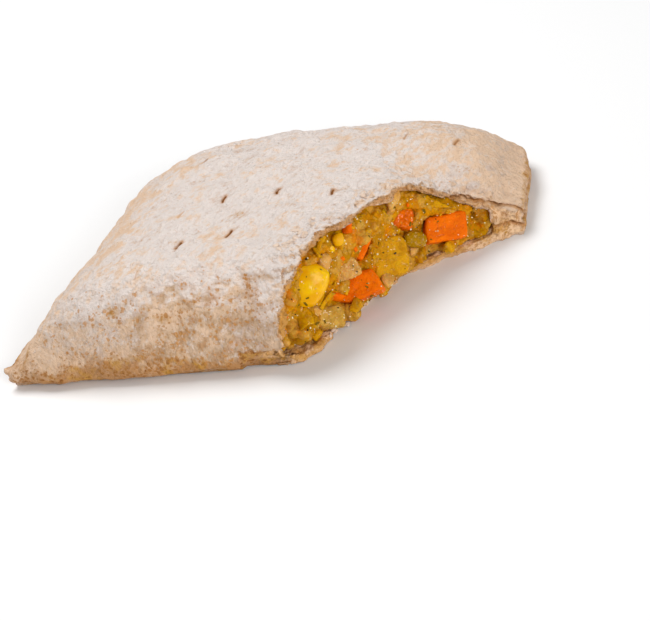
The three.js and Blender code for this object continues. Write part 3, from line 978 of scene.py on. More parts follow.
def parting(at):
    """How far each point is in the cracks between the layers at the right end."""
    opened = np.zeros(len(at.x))
    wavy = 0.5 * grain(at.plan, 1.6, 7.7) + 1.1 * grain(at.plan, 5, 3.9)
    for (from_u, from_z), (to_u, to_z) in PARTINGS:
        middle = from_z + (at.u - from_u) * (to_z - from_z) / (to_u - from_u)
        span = fade(at.u, from_u - 1, from_u + 1) * fade(at.u, to_u + 1, to_u - 1)
        opened = np.maximum(opened, span * hump(at.z, middle + wavy, 0.5))
    return opened * fade(at.behind, 3, 1.5)


def slits(at):
    """How far each point is in one of the steam slits."""
    cut = np.zeros(len(at.x))
    for index, (x, y) in enumerate(SLITS):
        turn = SLIT_TURN + SLIT_TURN_CHANGE * math.sin(index)
        along = -(at.x - x) * math.sin(turn) + (at.y - y) * math.cos(turn)
        across = (at.x - x) * math.cos(turn) + (at.y - y) * math.sin(turn)
        bent = across + 0.16 * np.sin(along * 1.3 + index)
        width = SLIT_WIDTH + SLIT_WIDTH_CHANGE * math.sin(3.1 * index)
        inside = hump(bent, 0, width) * fade(np.abs(along), *SLIT_ENDS)
        dent = 0.34 * hump(across, 0.1, 1.1) * fade(np.abs(along), *DENT_ENDS)
        share = FAINT_SLITS.get(index, 1) * (at.z > SLIT_FLOOR)
        cut = np.maximum(cut, share * np.maximum(inside, dent))
    return cut


def peeled(at):
    """Where the outer skin has flaked off the fold beside the break: the bare patch and a thinner step."""
    near = (at.y < 7) & (at.x > PEEL_LEFT - 6) & (at.x < -4) & (at.normal[:, 1] < 0.2)
    bare = np.zeros(len(at.x))
    step = np.zeros(len(at.x))
    chosen = np.flatnonzero(near)
    flat = at.plan[chosen] * [1, 0, 1]
    jag = 0.9 * grain(flat, 2.2, 1.3) + 0.45 * grain(flat, 0.8, 4.8)
    x = at.x[chosen]
    z = at.z[chosen]
    top = PEEL_TOP - PEEL_TOP_SLANT * (x - PEEL_LEFT)
    slant = PEEL_LEFT - PEEL_STEP_SLANT * (z - PEEL_TOP)
    right = fade(x - PEEL_LEFT + jag, -PEEL_EDGE, PEEL_EDGE)
    bare[chosen] = right * fade(top + jag - z, -PEEL_EDGE, PEEL_EDGE)
    thin = fade(x - slant + jag, -PEEL_EDGE, PEEL_EDGE) * fade(z, 6, 8) * fade(z, 16, 13)
    step[chosen] = thin * fade(x, -8, -13)
    return bare * fade(at.behind, 0.4, 1), step * fade(at.behind, 0.4, 1)


def facing_filling(at):
    """Where the crust faces the filling, near the break, and the top of the lip in front of it."""
    filling = filling_tree()
    near = np.flatnonzero(at.behind < 12)
    away = np.full(len(at.x), 9.0)
    away[near] = [filling.find_nearest(at.world[i])[3] / MM for i in near.tolist()]
    lip = fade(at.z, 6, 4) * fade(at.normal[:, 2], 0, 0.4) * fade(at.behind, 3, 1) * fade(away, 6, 4)
    return np.maximum(fade(away, 2, 1.4) * (at.behind > 0.3), lip)


def browning(at, torn, bare):
    """How browned each point is: low on the fold, at the rim and below, and in clouds on the fold."""
    fold = fade(at.y, 15, 3) * (at.normal[:, 2] > -0.5)
    corner = fade(at.from_left, 10, 3) * fade(at.y, 36, 8)
    low_top = 12 - 6 * fade(at.x, -34, -22)
    low_fold = ease((low_top - at.z) / (low_top - 2)) * fold * (1 - 0.4 * corner)
    crease = 0.6 * hump(at.from_left, 5.2, 1.6) * fade(at.y, 27, 18)
    wall = 0.55 * fade(at.from_rim, 1.6, 0.4) * (at.y > 2)
    right = 0.22 * fade(at.from_right, 13, 1)
    under = 0.8 * fade(at.normal[:, 2], -0.2, -0.8)
    end = 0.35 * torn * fade(at.u, *RIGHT_END)
    clouds = np.zeros(len(at.x))
    for x, z, wide, high, brown in BROWNED:
        clouds = np.maximum(clouds, brown * hump(at.x, x, wide) * hump(at.z, z, high) * (at.y < 20))
    plain = np.ones(len(at.x))
    for part in (0.9 * low_fold, crease, wall, right, under, 0.9 * bare, end, clouds):
        plain = plain * (1 - part)
    return 1 - plain


def flouring(at, bare):
    """How floury each point is: most on the middle of the top."""
    floury = fade(at.from_left, 4, 32) * fade(at.from_right, 8, 36) * fade(at.y, 91, 80)
    floury *= fade(at.z, 5, 18) * fade(at.normal[:, 2], 0, 0.8)
    return floury * (1 - bare)


def front_of_fold(at, bare):
    """How far each point is on the front of the fold, less beside the break, where the fold's darker colour
    thins out as painted light.
    """
    front = fade(at.y, 24, 0) * fade(at.normal[:, 2], 1.05, 0.4) * (1 - bare)
    return front * (1 - 0.45 * fade(at.behind, 15, 4))


def torn_depth(at, torn, depth, inside):
    """How deep in the torn pastry each point is, from 0 at the skin, or how soaked it is by the filling."""
    soaked = inside * (0.25 + 0.5 * fade(at.z, 6.5, 4))
    soaked *= 0.5 + 0.5 * fade(grain(at.plan, 3, 5.1), -0.3, 0.2)
    lip = fade(at.z, 5, 2.5) * fade(at.u, *reversed(RIGHT_END))
    layers = np.clip(depth / 3 + 0.35 * torn * lip, 0, 1) * (1 - 0.45 * fade(at.u, *RIGHT_END))
    return np.maximum(layers, soaked)


def crust_masks(obj, torn, depth):
    """Carves what the skin has lost and writes what the finish needs to know about each point."""
    at = Places(obj)
    cut = slits(at)
    crack = parting(at)
    bare, step = peeled(at)
    fall = SLIT_DEPTH * cut + PEEL_DEPTH * bare + STEP_DEPTH * np.maximum(step - bare, 0)
    moved = at.world - at.normal * (fall * MM)[:, None]
    moved -= at.away * (PARTING_DEPTH * crack * MM)[:, None]
    move_points(obj, moved)
    front = front_of_fold(at, bare)
    inside = facing_filling(at)
    masks = {
        "toast": browning(at, torn, bare),
        "flour": flouring(at, bare),
        # Painted light: the fold's darker cream, its browned colour, fades towards the left end, which makes
        # the left slope lighter
        "fold": front * (0.2 + 0.8 * fade(at.x, -50, -32)),
        "freckled": front * (0.55 + 0.45 * fade(at.x, -50, -32)),
        "torn": np.maximum(torn, inside),
        "depth": torn_depth(at, torn, depth, inside),
        # The slits and, at three quarters, the partings: where the finish paints the browner dough and the
        # shade in these recesses
        "slit": np.maximum(cut, 0.75 * crack),
    }
    for name, values in masks.items():
        write_attribute(obj, name, values)


def along_streaks(finish):
    """Coordinates in which lumps are stretched along the break's way, as the skin is streaked."""
    return finish.stretched((1.9, 1, 1.2), BREAK_ANGLE)


def pastry_finish(settings):
    """Floury baked dough, freckled and browned at the fold, slit, and torn in layers."""
    finish = Finish("Pastry")
    patches = finish.grain(3.4, 4, 0.6)
    fine = finish.grain(0.8, 3, 0.55)
    lengthwise = along_streaks(finish)
    fold = finish.attribute("fold")
    streaks = finish.grain(1.4, 4, 0.65, lengthwise) * (1 - fold) + finish.grain(1.2, 3, 0.5) * fold
    normal = finish.bump((streaks * 0.55 + fine * 0.45) * (1 - 0.3 * fold), 2.0)
    toast = finish.attribute("toast")
    flour = finish.attribute("flour")
    torn = finish.attribute("torn")
    depth = finish.attribute("depth")
    slit = finish.attribute("slit")
    broad = finish.grain(13, 4, 0.55)
    mottle = (broad - 0.5) * 2.8 + (patches - 0.5) * 2.2
    base = finish.mix((fold * 0.9 + mottle).fade(0, 1), settings.peach, settings.cream)
    dusted = (flour * 0.9 + mottle * 1.1 + (streaks - 0.5) * 2.8 - fold * 0.4 + 0.08).fade(0, 1)
    base = finish.mix(dusted, base, settings.flour)
    blots = (patches * 0.7 + finish.grain(1.7, 3, 0.5) * 0.3 + broad * 0.25).fade(0.57, 0.74)
    base = finish.mix(blots * fold * 0.6, base, settings.toast)
    gold = finish.mix(finish.grain(4.2, 3, 0.55).fade(0.48, 0.64), settings.toast, settings.gold)
    browned = (toast * 1.25 + mottle * 0.55 + (streaks - 0.5) * 2.0).fade(0.05, 1.1)
    base = finish.mix(browned * 0.92, base, gold)
    base = freckled(finish, settings, base, toast, patches, broad)
    dust = finish.grain(1.1, 4, 0.6, lengthwise).fade(0.54, 0.68) * (0.8 - toast)
    base = finish.mix(dust * 0.6, base, settings.flour)
    base = finish.mix(torn, base, torn_colour(finish, settings, toast, depth, patches, fine))
    # The slits and partings: a tan tint over the dents and dark brown in the cuts, partly browner dough and
    # partly painted shade in these recesses
    base = finish.mix(slit.fade(0.08, 0.45) * 0.6, base, settings.bran)
    base = finish.mix(slit.fade(0.45, 0.85), base, settings.slit)
    return finish.surface(
        {"Base Color": base, "Roughness": 0.76 + 0.14 * dusted, "Normal": normal, "Specular IOR Level": 0.22}
    )


def freckled(finish, settings, base, toast, patches, broad):
    """Small and large freckles of bran over a colour, crowded where the dough is browned."""
    share = finish.attribute("freckled")
    crowd = (share * 0.7 + toast * 0.7 + (patches - 0.5) * 2.2 + (broad - 0.5) * 1.4).fade(0.1, 0.75)
    small = finish.dots(0.85, 0.2 + 0.34 * crowd)
    large = finish.dots(1.5, 0.04 + 0.4 * crowd)
    base = finish.mix(small * (0.35 + 0.35 * crowd), base, settings.bran)
    base = finish.mix(large * 0.7, base, settings.bran)
    return finish.mix((small * 0.6 + large * 0.6) * toast, base, settings.slit)


def torn_colour(finish, settings, toast, depth, patches, fine):
    """The layers of the torn dough, browner where the dough is browned and darker where they are high, as
    painted shade under the overhanging skin, and stained near the filling.
    """
    apart = finish.layered(depth, 4.5)
    # Painted shade: the torn layers darken towards the top, under the overhanging skin, and are browner where
    # the dough is browned
    high = finish.node("ShaderNodeSeparateXYZ", None, {"Vector": finish.place}, "Z").fade(6 * MM, 14 * MM)
    baked = (high * 0.7 + toast * 0.35).fade(0, 1) * 0.8
    line = finish.mix(baked, settings.layer, settings.bran)
    sheet = finish.mix(baked, settings.torn, settings.layer)
    face = finish.mix(finish.grain(1.2, 3, 0.6, apart).fade(0.38, 0.52), line, sheet)
    stained = (depth * 1.5 + (patches - 0.5) * 1.1).fade(0.5, 1.25)
    face = finish.mix(stained * 0.8, face, settings.stain)
    return finish.mix((depth + (fine - 0.5) * 0.25).fade(0.2, 0.06), face, settings.peach)


def crumb_finish(settings):
    """Crumbs of the skin, floury all over."""
    finish = Finish("Loose Flakes")
    fine = finish.grain(0.8, 3, 0.55)
    streaks = finish.grain(1.4, 4, 0.65, along_streaks(finish))
    base = finish.mix(fine.fade(0.42, 0.68) * 0.4, settings.flour, settings.peach)
    base = finish.mix(0.35, base, settings.torn)
    normal = finish.bump(streaks * 0.55 + fine * 0.45, 2.0)
    return finish.surface({"Base Color": base, "Roughness": 0.9, "Normal": normal, "Specular IOR Level": 0.2})


class PATTY_OT_crust(bpy.types.Operator):
    """Make the folded pastry crust, torn open at its right front"""

    bl_idname = "patty.crust"
    bl_label = "Pastry Crust"

    def execute(self, context):
        settings = context.scene.patty_pastry
        obj = crust_shape(settings)
        at = Places(obj)
        outer = skin_tree(obj, torn_share(at) < 0.2)
        subdivide_where(obj, torn_share(at) > 0.1)
        subdivide_where(obj, to_carve(Places(obj)))
        torn, depth = tear(obj, outer)
        crust_masks(obj, torn, depth)
        hand_over(obj, pastry_finish(settings), "crust", "crust")
        return {"FINISHED"}


def to_carve(at):
    """Which points are close to a slit or to the flaked patch, so that their faces have to be finer."""
    by_slit = (slit_distance(at) < SLIT_ENDS[0]) & (at.z > SLIT_FLOOR) & (at.normal[:, 2] > 0)
    by_peel = (at.x > PEEL_LEFT - 4) & (at.x < -6) & (at.y < 6) & (at.z < 15) & (at.normal[:, 1] < 0)
    return by_slit | (by_peel & (at.behind > 0.4))


def skin_tree(obj, chosen):
    """A search tree over the crust's faces away from the tear and outside its hollow."""
    filling = filling_tree()
    points = [v.co.copy() for v in obj.data.vertices]
    faces = []
    for polygon in obj.data.polygons:
        corners = list(polygon.vertices)
        if all(chosen[i] for i in corners) and filling.find_nearest(polygon.center)[3] > 2 * MM:
            faces.append(corners)
    return BVHTree.FromPolygons(points, faces)


def sunk_spots(draw):
    """Spots for half-sunk crumbs on the top of the crust beside the break."""
    crust = tree_of([bpy.data.objects["pastry"]])
    spots = []
    for x, y, spread, count in CRUMB_PATCHES:
        for _ in range(count):
            across = x + draw.gauss(0, spread / 2)
            back = y + draw.gauss(0, spread / 2)
            start = PLAN_ORIGIN + Vector((across, back, DROP_HEIGHT))
            place, normal = crust.ray_cast(start * MM, Vector((0, 0, -1)))[:2]
            if place is None or normal.z < 0.5 or place.z < CRUMB_FLOOR * MM:
                continue
            size = draw.uniform(*CRUMB_SIZES)
            shape = (size, size * draw.uniform(0.5, 0.9), size * 0.34)
            spots.append(Spot(place, normal, shape, draw.gauss(0, 0.6), 0, 0.05 * size))
    return spots


def lip_spots(draw):
    """Spots for loose crumbs on the bottom lip."""
    spots = []
    for _ in range(LIP_CRUMBS):
        u, n, z = [draw.uniform(*span) for span in LIP_CRUMB_SPANS]
        place = BREAK_FRAME @ (Vector((u, -n, z)) * MM)
        size = draw.uniform(*LIP_CRUMB_SIZES)
        shape = (size, size * 0.7, size * 0.5)
        spots.append(Spot(place, Vector((0, 0, 1)), shape, draw.uniform(0, 6), 0.3, 0))
    return spots


class PATTY_OT_flakes(bpy.types.Operator):
    """Sink crumbs of pastry into the crust beside the break, and lay a few on its bottom lip"""

    bl_idname = "patty.flakes"
    bl_label = "Pastry Flakes"

    def execute(self, context):
        settings = context.scene.patty_pastry
        draw = random.Random(settings.scatter_seed)
        crumb = crumb_pattern()
        sunk = copies(crumb, sunk_spots(draw), draw, 0.8)
        loose = copies(crumb, lip_spots(draw), draw, 0.6)
        obj = joined("pastry_flakes", sunk, loose)
        hand_over(obj, crumb_finish(settings), "crust")
        return {"FINISHED"}


# Filling


def filling_shape(settings):
    """The CAD filling with even faces, swollen towards the pastry, and fine only near the break."""
    obj = merged_copy("filling", "mash")
    apply_modifier(obj, "REMESH", mode="VOXEL", voxel_size=settings.fineness)
    smooth(obj, 14)
    apply_modifier(obj, "DISPLACE", strength=settings.swell, mid_level=0)
    thin_out(obj, Places(obj).behind > 7, 0.94)
    subdivide_where(obj, Places(obj).behind < 4.5)
    return obj


def mash_relief(obj):
    """Lumps, crevices and pits of the broken face, and mash that bulges over the bottom lip."""
    at = Places(obj)
    chosen = np.flatnonzero(at.behind < 6)
    plan = at.plan[chosen]
    u = at.u[chosen]
    z = at.z[chosen]
    deep, own = chunks(plan, 3.3, 2.0)
    small_deep, small_own = chunks(plan, 1.5, 6.0)
    lumps = 0.42 * (fade(deep, 0, 0.5) - 0.6) + 0.16 * (fade(small_deep, 0, 0.6) - 0.6)
    lumps += 0.9 * grain(plan, 4.2, 1.1) + 0.4 * grain(plan, 1.3, 6.9) + 0.16 * grain(plan, 0.7, 2.9)
    front = fade(at.behind[chosen], 6, 3)
    over_lip = fade(u, 17, 24) * fade(u, 52, 44) * fade(z, 9, 3)
    cup = fade(u, 12, 6) * fade(z, 6.8, 3.8)
    out = 0.35 + 0.5 * fade(u, 18, 10) + 1.3 * over_lip - 3 * cup
    pit = np.zeros(len(chosen))
    for pit_u, pit_z, wide, high, deepest in PITS:
        here = hump(u, pit_u + 0.5 * grain(plan, 2.4, 7.1), wide) * hump(z, pit_z, high)
        here *= 0.35 + 0.65 * fade(grain(plan, 1.3, 4.7), -0.2, 0.15)
        out -= deepest * here
        pit = np.maximum(pit, here)
    moved = at.world.copy()
    moved[chosen] += at.normal[chosen] * (lumps * front * MM)[:, None]
    moved[chosen] += at.away[chosen] * (out * front * MM)[:, None]
    moved[chosen, 2] -= 0.9 * over_lip * front * fade(z, 6, 3) * MM
    move_points(obj, moved)
    # Masks for the finish's painted shade: 0 in the crevices between lumps, and 1 in the pits
    raised = np.minimum(fade(deep, 0, 0.16), 0.35 + 0.65 * fade(small_deep, 0, 0.14))
    for name, values in (("lump", own), ("small_lump", small_own), ("raised", raised), ("pit", pit)):
        every = np.zeros(len(at.x))
        every[chosen] = values
        write_attribute(obj, name, every)


def mash_finish(settings):
    finish = Finish("Mash")
    lump = finish.attribute("lump")
    small = finish.attribute("small_lump")
    fine = finish.grain(0.5, 3, 0.6)
    cloud = finish.grain(2.2, 4, 0.6)
    base = finish.mix(cloud.fade(0.36, 0.6), settings.amber, settings.mash)
    base = finish.mix(lump.fade(0.44, 0.34) * 0.7, base, settings.olive)
    base = finish.mix(lump.fade(0.62, 0.72) * 0.6, base, settings.pale)
    base = finish.mix(small.fade(0.66, 0.76) * 0.45, base, settings.pale)
    base = finish.mix(small.fade(0.36, 0.26) * 0.4, base, settings.olive)
    base = finish.mix(finish.grain(3.6, 3).fade(0.56, 0.7) * 0.7, base, settings.orange)
    # Painted shade: the mash is darker in the crevices between the raised lumps
    base = finish.mix(finish.attribute("raised").fade(1, 0) * 0.2, base, settings.crevice_shade)
    base = finish.mix(fine.fade(0.5, 0.34) * 0.4, base, settings.amber)
    bright = finish.dots(1.3, 0.3)
    base = finish.mix(bright * 0.5, base, settings.sweetcorn)
    # Painted shade: the mash is darker in the pits
    base = finish.mix(finish.attribute("pit").fade(0.15, 0.8) * 0.8, base, settings.crevice_shade)
    height = cloud * 0.3 + fine * 0.45 + finish.grain(0.24, 2) * 0.25
    return moist(finish, base, height, 0.9, soft=0.12, wet=0.5, drop=0.55, swell=0.42)


def moist(finish, base, height, depth, dull=0.5, soft=0.15, wet=0.4, drop=0.9, swell=0.8):
    """The shared wet look of the vegetable pieces: drops and films on them shine, the rest is dull."""
    film = finish.grain(drop, 3, 0.6).fade(0.64 - 0.2 * wet, 0.68 - 0.16 * wet)
    return finish.surface(
        {
            "Base Color": base,
            "Roughness": dull,
            "Specular IOR Level": 0.05,
            "Normal": finish.bump(height, depth),
            "Subsurface Weight": soft,
            "Subsurface Radius": FLESH_RADIUS,
            "Subsurface Scale": FLESH_SCALE,
        },
        {
            "Roughness": 0.1,
            "Specular IOR Level": 0.75,
            "Normal": finish.bump(finish.grain(swell, 1) + film * 0.4, 0.6),
        },
        film,
    )


class PATTY_OT_filling(bpy.types.Operator):
    """Make the mashed filling"""

    bl_idname = "patty.filling"
    bl_label = "Mashed Filling"

    def execute(self, context):
        settings = context.scene.patty_filling
        obj = filling_shape(settings)
        mash_relief(obj)
        hand_over(obj, mash_finish(settings), "filling", "filling")
        return {"FINISHED"}


# Vegetable pieces


def vegetable_block(block, material):
    """Makes a block and puts it in its CAD node's place."""
    finish_block(cut_block(block), block, material)


def cut_block(block):
    """A knife-cut block: a cube cut by slanting planes, its edges worn and its faces softened."""
    deselect()
    bpy.ops.mesh.primitive_cube_add(size=1)
    obj = bpy.context.object
    obj.name = block.name
    obj.scale = [s * MM for s in block.size]
    bpy.ops.object.transform_apply(location=False, rotation=False, scale=True)
    bpy.ops.object.mode_set(mode="EDIT")
    for place, facing in block.cuts:
        bpy.ops.mesh.select_all(action="SELECT")
        middle = [p * s * MM / 2 for p, s in zip(place, block.size)]
        bpy.ops.mesh.bisect(plane_co=middle, plane_no=facing, use_fill=True, clear_outer=True)
    bpy.ops.mesh.select_all(action="SELECT")
    bpy.ops.mesh.bevel(offset=block.edge * MM, segments=3, affect="EDGES")
    bpy.ops.object.mode_set(mode="OBJECT")
    apply_modifier(obj, "REMESH", mode="VOXEL", voxel_size=BLOCK_FINENESS * MM)
    smooth(obj, block.soften)
    return obj


def finish_block(obj, block, material):
    """Makes a block's faces uneven, puts it on the break and hands it over."""
    roughen(obj, *block.lumps)
    put_on_break(obj, block.at, block.turn)
    hand_over(obj, material, block.node, block.node)


def round_lump(name, size, taper=0.0, square=1.0):
    """A rounded piece, narrowed towards one end."""
    deselect()
    bpy.ops.mesh.primitive_uv_sphere_add(segments=48, ring_count=32, radius=0.5)
    obj = bpy.context.object
    obj.name = name
    if square < 1:
        apply_modifier(
            obj, "CAST", cast_type="CUBOID", factor=1 - square, size=0.46, use_radius_as_size=False
        )
    bpy.ops.object.mode_set(mode="EDIT")
    bpy.ops.mesh.select_all(action="SELECT")
    bpy.ops.transform.resize(value=[s * MM for s in size])
    bpy.ops.object.mode_set(mode="OBJECT")
    if taper:
        apply_modifier(obj, "SIMPLE_DEFORM", deform_method="TAPER", factor=taper, deform_axis="Z")
    return obj


def smeared(finish, base, settings, amount):
    """Mash stuck to a piece in thin patches."""
    patches = finish.grain(2.4, 4, 0.65).fade(0.66 - 0.1 * amount, 0.74 - 0.08 * amount)
    return finish.mix(patches * 0.8, base, settings.mash)


def carrot_finish(settings, name, amount):
    """Cut carrot with fine fibres, wetter and more smeared with mash by an amount."""
    finish = Finish(name)
    fibres = finish.grain(0.6, 3, 0.6, finish.stretched((2.6, 1, 1), BREAK_ANGLE))
    broad = finish.grain(4, 2)
    red, green, blue = settings.carrot
    base = finish.mix(broad.fade(0.35, 0.65), (red * 0.84, green * 0.74, blue), settings.carrot)
    base = finish.mix(fibres.fade(0.5, 0.75) * 0.45, base, (min(red * 1.05, 1), green * 1.5, blue))
    base = smeared(finish, base, settings, amount)
    height = fibres * 0.5 + finish.grain(0.35, 2) * 0.5
    return moist(
        finish, base, height, 0.25 + 0.8 * amount, dull=0.45, soft=0.12, wet=0.1 + 0.9 * amount, drop=0.6
    )


class PATTY_OT_carrots(bpy.types.Operator):
    """Make the four pieces of carrot"""

    bl_idname = "patty.carrots"
    bl_label = "Carrot Pieces"

    def execute(self, context):
        settings = context.scene.patty_filling
        plain = carrot_finish(settings, "Carrot", 0.2)
        rough = carrot_finish(settings, "Rough Carrot", 0.8)
        vegetable_block(FRONT_CARROT, plain)
        vegetable_block(RIGHT_CARROT, plain)
        vegetable_block(ROUGH_CARROT, rough)
        vegetable_block(THIN_CARROT, plain)
        return {"FINISHED"}


def sweetcorn_finish(settings, name="Sweetcorn"):
    """Tight glossy skin over flesh that is deeper yellow in parts."""
    finish = Finish(name)
    broad = finish.grain(4.5, 2)
    red, green, blue = settings.sweetcorn
    deep = (red * 0.86, green * 0.66, blue)
    base = finish.mix(0.2 + 0.8 * broad.fade(0.38, 0.62), deep, settings.sweetcorn)
    return finish.surface(
        {
            "Base Color": base,
            "Roughness": 0.22,
            "Specular IOR Level": 0.14,
            "Normal": finish.bump(finish.grain(1.6, 2), 0.2),
            "Subsurface Weight": 0.2,
            "Subsurface Radius": FLESH_RADIUS,
            "Subsurface Scale": FLESH_SCALE,
        },
        {"Roughness": 0.08, "Specular IOR Level": 0.7, "Normal": finish.bump(finish.grain(1.1, 2), 0.5)},
        finish.grain(1.3, 3, 0.6).fade(0.52, 0.58) * 0.6,
    )


class PATTY_OT_sweetcorn(bpy.types.Operator):
    """Make the sweetcorn kernel"""

    bl_idname = "patty.sweetcorn"
    bl_label = "Sweetcorn Kernel"

    def execute(self, context):
        settings = context.scene.patty_filling
        obj = round_lump("kernel", (8.2, 5.6, 11), taper=0.3, square=0.72)
        roughen(obj, 6, 0.35)
        apply_modifier(obj, "SUBSURF", levels=1, render_levels=1)
        put_on_break(obj, (13.9, 2.1, 17.4), (3, 44, -52))
        hand_over(obj, sweetcorn_finish(settings), "sweetcorn_kernel", "sweetcorn_kernel")
        return {"FINISHED"}


def soft_finish(settings, name, tint, amount, rough=0.4, soft=0.3, wet=0.5):
    """Soft translucent vegetable flesh of a tint, smeared with mash by an amount."""
    finish = Finish(name)
    broad = finish.grain(2.6, 3)
    fine = finish.grain(0.6, 3, 0.6)
    red, green, blue = tint
    base = finish.mix(broad.fade(0.32, 0.6), (red * 0.76, green * 0.68, blue * 0.5), tint)
    light = (min(red * 1.2, 1), min(green * 1.25, 1), min(blue * 1.7, 1))
    base = finish.mix(fine.fade(0.5, 0.72) * 0.4, base, light)
    base = smeared(finish, base, settings, amount)
    return moist(finish, base, broad * 0.35 + fine * 0.65, 0.6, rough, soft, wet)


class PATTY_OT_potatoes(bpy.types.Operator):
    """Make the slab and the lump of potato"""

    bl_idname = "patty.potatoes"
    bl_label = "Potato Pieces"

    def execute(self, context):
        settings = context.scene.patty_filling
        vegetable_block(POTATO_SLAB, soft_finish(settings, "Potato", settings.potato, 0.1))
        vegetable_block(POTATO_LUMP, soft_finish(settings, "Pale Potato", settings.pale, 0.5))
        return {"FINISHED"}


class PATTY_OT_greens(bpy.types.Operator):
    """Make the bean, the onion and the cabbage strip"""

    bl_idname = "patty.greens"
    bl_label = "Bean, Onion and Cabbage"

    def execute(self, context):
        settings = context.scene.patty_filling
        bean = round_lump("bean", (5.8, 3.7, 4.3), square=0.8)
        roughen(bean, 2.6, 0.4)
        put_on_break(bean, (48.3, 4.3, 10.1), (-11, 35, -43))
        flesh = soft_finish(settings, "Bean", settings.bean, 0, 0.3, 0.3, 0.8)
        hand_over(bean, flesh, "green_bean", "green_bean")
        vegetable_block(ONION, soft_finish(settings, "Onion", settings.onion, 0.2, 0.25, 0.5, 0.9))
        strip = cut_block(CABBAGE)
        apply_modifier(strip, "SIMPLE_DEFORM", deform_method="BEND", angle=CABBAGE_BEND, deform_axis="Y")
        finish_block(strip, CABBAGE, soft_finish(settings, "Cabbage", settings.cabbage, 0.2, 0.3, 0.4))
        return {"FINISHED"}


# Small bits


class Front:
    """The food as it faces whoever looks at the break, to lay small bits on."""

    def __init__(self, *names):
        self.food = tree_of([bpy.data.objects[name] for name in names])
        self.crust = tree_of([bpy.data.objects["pastry"]])

    def hit(self, u, n, z, way=(0, 1, 0)):
        """The first food on the line through a place on the break, or None behind pastry."""
        back = -Vector(way).normalized()
        start = BREAK_FRAME @ ((Vector((u, -n, z)) + back * STAND_OFF) * MM)
        ahead = BREAK_FRAME.to_3x3() @ -back
        place, normal, _, distance = self.food.ray_cast(start, ahead)
        if place is None:
            return None
        wall = self.crust.ray_cast(start, ahead)[3]
        if wall is not None and wall < distance:
            return None
        return place, normal

    def lie(self, at, size, turn, sink=0.4, lean=0.0):
        """A spot for a bit seen at a place on the break, on the food that is under it."""
        hit = self.hit(*at, way=SEEN_FROM)
        if hit is None:
            raise RuntimeError(f"No food under the bit at {at}")
        place, normal = hit
        return Spot(place, normal, size, math.radians(turn), lean, (sink - 0.5) * size[2])

    def strew(self, draw, count, sizes, flat, sink, lean=0.2):
        """Random spots all over the face. Sizes are the least and the most."""
        spots = []
        while len(spots) < count:
            hit = self.hit(draw.uniform(*FACE_WIDTH), 0, draw.uniform(*FACE_HEIGHT))
            if hit is None:
                continue
            place, normal = hit
            if normal.dot(Vector(OUTWARD)) < 0.15:
                continue
            size = sizes[0] + (sizes[1] - sizes[0]) * draw.random() ** 2
            shape = (size, size * draw.uniform(0.55, 0.95), size * flat)
            turn = draw.uniform(0, 6.3)
            spots.append(Spot(place, normal, shape, turn, draw.gauss(0, lean), (sink - 0.5) * shape[2]))
        return spots


